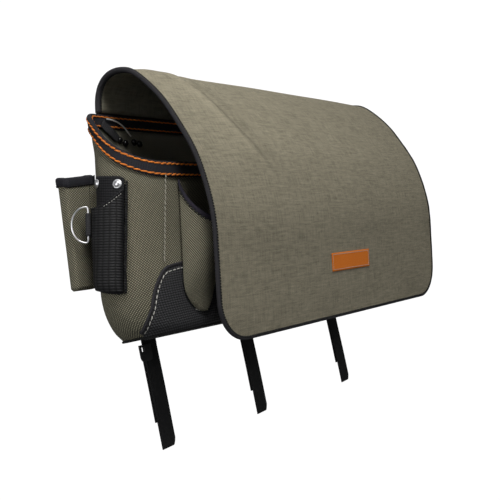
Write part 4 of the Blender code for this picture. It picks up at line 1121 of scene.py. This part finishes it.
def sheath_plate(name, mid, half, v0, v1, w0, w1, mat, r=5.0, crown=0.0):
    """A soft-edged plate in the sheath's plane, w0 to w1 thick, crowned."""
    nu, nv = 30, 70
    us = np.linspace(-1, 1, nu)
    vs = np.linspace(0, 1, nv)
    Ug, Vg = np.meshgrid(us, vs)
    vv = v0 + (v1 - v0) * Vg
    c = np.minimum(vv - v0, v1 - vv)
    pull = np.where(c < r, r - np.sqrt(np.maximum(0, r * r - (r - c) ** 2)), 0)
    uu = mid + Ug * (half - pull)
    round_ = (1 - np.abs(Ug) ** 10) ** 0.5 * np.clip(c / 1.2, 0, 1) ** 0.5
    topf = sh(uu, vv, (w0 + w1) / 2 + (w1 - w0) / 2 * round_ + crown * (1 - Ug ** 2))
    botf = sh(uu, vv, (w0 + w1) / 2 - (w1 - w0) / 2 * round_)
    bm = bmesh.new()
    uvl = bm.loops.layers.uv.new("cloth")
    T = [[bm.verts.new(tuple(topf[i, j])) for j in range(nu)] for i in range(nv)]
    B = [[bm.verts.new(tuple(botf[i, j])) for j in range(nu)] for i in range(nv)]
    for i in range(nv - 1):
        for j in range(nu - 1):
            for L, order_ in ((T, ((0, 0), (0, 1), (1, 1), (1, 0))), (B, ((1, 0), (1, 1), (0, 1), (0, 0)))):
                f = bm.faces.new([L[i + a][j + b] for a, b in order_])
                for lp, (a, b) in zip(f.loops, order_):
                    lp[uvl].uv = (uu[i + a, j + b] * 0.001, vv[i + a, j + b] * 0.001)
    bmesh.ops.remove_doubles(bm, verts=bm.verts, dist=2e-6)
    bmesh.ops.recalc_face_normals(bm, faces=bm.faces)
    me = bpy.data.meshes.new(name)
    bm.to_mesh(me)
    bm.free()
    me.shade_smooth()
    me.materials.append(mat)
    ob = bpy.data.objects.new(name, me)
    COLL.objects.link(ob)
    return ob


ob = sheath_plate("sheath_back_cloth", 0.0, S_W_ / 2, 0.0, S_L, 0.0, 2.0, SHEATH_BACK)
place(ob, "bag", "black_webbing", "sheath_backplate")


def sleeve_top(s):
    return 39.0 + (17.0 - 39.0) * ((s + 1) / 2) ** 3


s, t = np.meshgrid(np.linspace(-1, 1, 45), np.linspace(0, 1, 70))
vv = sleeve_top(s) + (S_L - 3.0 - sleeve_top(s)) * t
bulge = 3.5 + 9.2 * np.maximum(0, 1 - np.abs(s) ** 4) ** 0.7 * (1 - 0.75 * t * np.maximum(0.0, -s) ** 0.7) * (1 - 0.45 * np.clip((t - 0.9) / 0.1, 0, 1) ** 2)
bulge = bulge + 0.5 * np.sin(t * 9.0 + s * 2.0) * (1 - np.abs(s) ** 2)
P = sh(s * (S_W_ / 2 - 1.5), vv, bulge)
ob = grid("sheath_sleeve_cloth", P, s * 0.024, vv * 0.001, SHEATH)
thick(ob, 1.6)
place(ob, "bag", "black_webbing", "sheath_sleeve")
# rolled mouth edge and its pale stitches
ss_ = np.linspace(-1, 1, 60)
b0 = 3.5 + 9.2 * np.maximum(0, 1 - np.abs(ss_) ** 4) ** 0.7 + 0.5 * np.sin(ss_ * 2.0) * (1 - np.abs(ss_) ** 2)
ob = tube("sheath_mouth_roll", sh(ss_ * (S_W_ / 2 - 1.5), sleeve_top(ss_) + 0.2, b0), 1.25, SHEATH_BACK, sides=8)
place(ob, "bag", "black_webbing")
runs = []
for off in (3.0,):
    uu = ss_[36:59] * (S_W_ / 2 - 1.5)
    vv_ = sleeve_top(ss_[36:59]) + off
    runs.append((sh(uu, vv_, b0[36:59] + 1.15), sh_out(uu, vv_)))
st = stitches("sheath_mouth_stitches", runs, 3.4, 2.0, 0.85, 0.8, WHITE, seed=41)
place(st, "bag", "black_webbing")
# ribbed welt down the front edge
vs = np.linspace(6.0, S_L - 2.0, 150)
ob = tube("sheath_edge_welt", sh(S_W_ / 2 + 1.75, vs, 2.25 + 0.35 * np.sin(vs * 1.9)), 1.7, SHEATH, sides=12)
place(ob, "bag", "black_webbing", "sheath_welt")
ob = sheath_plate("sheath_side_tape", -S_W_ / 2 - 3.0, 2.5, 40.0, S_L - 2.0, 0.0, 2.0, BINDING, r=2.0)
place(ob, "bag", "black_webbing", "sheath_side_flange")

RIVET = [(0.0, 0.0), (5.4, 0.0), (5.6, 0.35), (5.3, 1.0), (4.6, 1.35), (4.2, 1.2), (3.8, 1.5), (3.0, 2.3), (1.9, 2.8), (0.7, 3.0), (0.0, 3.02)]
for k, (u_, v_) in enumerate(((14.0, 9.5), (-16.0, 9.5)), 1):
    ob = lathe("rivet_head_%d" % k, sh(u_, v_, 2.05), sh_out(u_, v_), RIVET[1:-1], RIVETM)
    place(ob, "bag", "chrome", "sheath_rivet_%d" % k)
for k, v_, f in ((3, S_L - 14.0, 0.5), (4, 80.0, 0.44)):
    ob = lathe("rivet_head_%d" % k, sh(-S_W_ / 2 - 2.9, v_, 2.05), sh_out(-S_W_ / 2 - 2.9, v_), [(r * f, z * f * 1.5) for r, z in RIVET[1:-1]], RIVETM)
    place(ob, "bag", "chrome", "sheath_rivet_%d" % k)

# steel ring, in its own directions: across, down, out
R_AT = np.array([-0.3844, -0.0374, 0.145 - 0.1486])
_t, _l = math.radians(9.8), math.radians(4.5)
_d, _a = np.array([-math.sin(_t), 0.0, -math.cos(_t)]), np.array([0.0, -1.0, 0.0])
R_U, R_V = _a * math.cos(_l) + _d * math.sin(_l), _d * math.cos(_l) - _a * math.sin(_l)
R_W = np.array([-math.cos(_t), 0.0, math.sin(_t)])


def rg(u, v, w):
    u, v, w = np.broadcast_arrays(np.asarray(u, float), np.asarray(v, float), np.asarray(w, float))
    return R_AT + (u[..., None] * R_U + v[..., None] * R_V + w[..., None] * R_W) * 0.001


RHALF, RREACH, RSW = 21.0, 18.5, math.radians(48.0)
a = np.linspace(0, np.pi, 70)
reach = RREACH * np.maximum(0, np.sin(a)) ** 0.85
# the round side meets the straight side in a small bend, not a corner
pts = rg(-reach * math.cos(RSW), -RHALF * np.cos(a), reach * math.sin(RSW))
line = rg(0.0, RHALF * np.linspace(0.93, -0.93, 24), 0.0)
ringp = np.concatenate([pts, line])
for _ in range(6):
    ringp = 0.5 * ringp + 0.25 * (np.roll(ringp, 1, 0) + np.roll(ringp, -1, 0))
ob = tube("steel_ring", ringp, 1.0, CHROME, closed=True, sides=14)
place(ob, "tool_ring", "chrome", "tool_ring")
# webbing loop round the straight side
la = np.linspace(0, 2 * np.pi, 28, endpoint=False)
lv = np.linspace(-13.0, 13.0, 16)
rad = 2.45
P = rg(rad * np.cos(la)[None] + 0 * lv[:, None], lv[:, None] + 0 * la[None], rad * np.sin(la)[None])
runc = np.concatenate([la, [2 * np.pi]]) * rad * 0.001
ob = grid("ring_webbing_loop", P, np.repeat(runc[None], 16, 0), (lv * 0.001)[:, None].repeat(29, 1), WEB, loop=True)
thick(ob, 1.1)
place(ob, "bag", "black_webbing", "ring_loop")

# ---------------------------------------------------------------------------
# Clip inside the left end
# ---------------------------------------------------------------------------
IY = Y_BACK - WALL - 2.5 - 0.3
ROOT = np.array([-0.3003, (IY - 1.6) * 0.001, (HZ - 15.5) * 0.001])
TD, TS_ = np.array([0.78, 0, -0.625]), np.array([0.625, 0, 0.78])
TD, TS_ = TD / np.linalg.norm(TD), TS_ / np.linalg.norm(TS_)
k, w = np.meshgrid(np.linspace(0.0, 1.0, 40), np.linspace(-1, 1, 16))
half = 5.5 * np.where(k > 0.85, np.sqrt(np.maximum(0.0, 1 - ((k - 0.85) / 0.15) ** 2 * 0.55)), 1.0)
P = ROOT + (k * 30.0)[..., None] * TD * 0.001 + (w * half)[..., None] * TS_ * 0.001 + np.array([0, 1, 0]) * (0.3 * np.sin(k * 9) * 0.001)[..., None]
ob = grid("clip_webbing_tab", P, w * 0.0055, k * 0.029, WEB)
thick(ob, 1.7)
place(ob, "clip_tab", "black_webbing", "clip_tab")
BA = np.array([-0.2912, (IY - 1.7) * 0.001, (HZ - 9.3) * 0.001])
BD, BN = np.array([0.88, 0, -0.475]), np.array([0.475, 0, 0.88])
BD, BN = BD / np.linalg.norm(BD), BN / np.linalg.norm(BN)
kk = np.linspace(0, 1, 60)
P = BA + kk[:, None] * BD * 0.0435 + (6.3 * np.sin(np.pi * kk))[:, None] * BN * 0.001 + np.array([0, -0.0004, 0])
ob = tube("clip_wire_bow", P, 0.95, WIRE_PAINTED_HIGHLIGHT, sides=12)
place(ob, "clip_wire", "chrome", "clip_wire")
SNAP = [(4.3, 0.0), (4.4, 0.5), (4.2, 1.3), (3.7, 2.3), (2.9, 3.3), (1.8, 4.0), (0.7, 4.3), (0.15, 4.35)]
for k_, (x_, h_) in enumerate(((-272.0, -35.0), (-262.5, -38.5), (-246.0, -36.5), (-236.5, -38.5)), 1):
    ob = lathe("snap_dome_%d" % k_, M(x_, IY + 1.6, h_), (0, -1, 0), SNAP, GLOSS)
    place(ob, "bag", "black_plastic", "snap_head_%d" % k_)

# ---------------------------------------------------------------------------
# Straps
# ---------------------------------------------------------------------------
for i, xs in enumerate(STRAP_X, 1):
    body = "strap_%d" % i
    hh_ = np.linspace(PZ - 0.8, STRAP_END + 0.3, 90)
    ww = np.linspace(-1, 1, 17)
    W, Hh = np.meshgrid(ww, hh_)
    # the foot is cut on a slant with its right corner clipped
    foot = np.clip((W + 1) / 2, 0, 1)
    low = STRAP_END - 1.5 + 1.5 * foot + 8.0 * np.clip((foot - 0.82) / 0.18, 0, 1) ** 1.4
    Hh = PZ - 0.8 + (low - (PZ - 0.8)) * ((PZ - 0.8 - Hh) / (PZ - 0.8 - STRAP_END - 0.3))
    bend = 0.25 * np.sin((Hh + 20 * i) / 23.0) * np.clip((PZ - Hh) / 20, 0, 1)
    P = M(xs + W * 12.5, PY + bend - 0.05 * (1 - W ** 8), Hh)
    ob = grid("strap_web_%d" % i, P, W * 0.0125, Hh * 0.001, STRAP, flip=False)
    thick(ob, 1.6)
    place(ob, body, "black_webbing", "strap_%d" % i)
    W, Hh = np.meshgrid(np.linspace(-1, 1, 13), np.linspace(PZ - 14.0, STRAP_END + 32.0, 60))
    P = M(xs - 2.0 + W * 12.5, PY + 1.8 + 0.15 * np.sin(Hh / 17.0), Hh)
    ob = grid("strap_hook_pad_%d" % i, P, W * 0.0125, Hh * 0.001, LINING if False else STRAP, flip=True)
    thick(ob, 1.2)
    place(ob, body, "black_webbing", "hook_pad_%d" % i)
    runs = [(M(np.full(50, xs + sx), PY - 0.85, np.linspace(PZ - 16, STRAP_END + 34, 50)), np.tile((0, -1.0, 0), (50, 1))) for sx in (-9.5, 9.5)]
    st = stitches("strap_stitches_%d" % i, runs, 3.2, 2.5, 0.7, 0.6, DARKT, seed=50 + i)
    place(st, body, "black_webbing")
    # the sewn root: a short piece of webbing fixed in place at the strap's top
    W, Hh = np.meshgrid(np.linspace(-1, 1, 13), np.linspace(BOTTOM - 8.0, BOTTOM - 0.3, 14))
    ob = grid("strap_root_%d" % i, M(xs + W * 12.4, PY - 0.1 + 0 * W, Hh), W * 0.0125, Hh * 0.001, STRAP)
    thick(ob, 2.1)
    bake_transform(ob)
    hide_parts("strap_anchor_%d" % i)
    # the moulded tab keeps its CAD shape, with softened edges
    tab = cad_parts["strap_tab_%d" % i]
    copy = tab.copy()
    copy.data = tab.data.copy()
    copy.name = "strap_moulded_tab_%d" % i
    copy.parent = None
    copy.data.materials.clear()
    copy.data.materials.append(PLASTIC)
    COLL.objects.link(copy)
    bev = copy.modifiers.new("soft_edge", "BEVEL")
    bev.width, bev.segments, bev.limit_method, bev.angle_limit = 0.0005, 3, "ANGLE", math.radians(40)
    place(copy, body, "black_plastic", "strap_tab_%d" % i)

# ---------------------------------------------------------------------------
# Rear panel: cloth-faced board with a bound, stitched edge
# ---------------------------------------------------------------------------
nx, nz = 90, 46
X, Zr = np.meshgrid(np.linspace(-296.6, 296.6, nx), np.linspace(-284.6, -5.4, nz))
edge = np.minimum(296.6 - np.abs(X), np.minimum(Zr + 284.6, -5.4 - Zr))
Yb = -0.75 - 0.9 * np.exp(-(edge / 1.2) ** 2)
ob = grid("back_panel_cloth", M(X, Yb, Zr), X * 0.001, Zr * 0.001, BACKCLOTH, flip=True)
thick(ob, 0.7)
place(ob, "bag", "board")
e_ = 7.0
bx = np.concatenate([np.linspace(-296.6 + e_, 296.6 - e_, 200), np.full(90, 296.6 - e_), np.linspace(296.6 - e_, -296.6 + e_, 200), np.full(90, -296.6 + e_)])
bz = np.concatenate([np.full(200, -5.4 - e_), np.linspace(-5.4 - e_, -284.6 + e_, 90), np.full(200, -284.6 + e_), np.linspace(-284.6 + e_, -5.4 - e_, 90)])
st = stitches("back_panel_stitches", [(M(bx, -0.42, bz), np.tile((0, 1.0, 0), (len(bx), 1)))], 4.2, 3.2, 0.8, 0.5, WHITE, seed=60)
place(st, "bag", "board")

# carried-over CAD nodes get procedural materials
for name, mat in (("back_panel", BOARD), ("floor_board", BOARD), ("cover_stiffener", BOARD)):
    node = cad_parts[name]
    node.data.materials.clear()
    node.data.materials.append(mat)
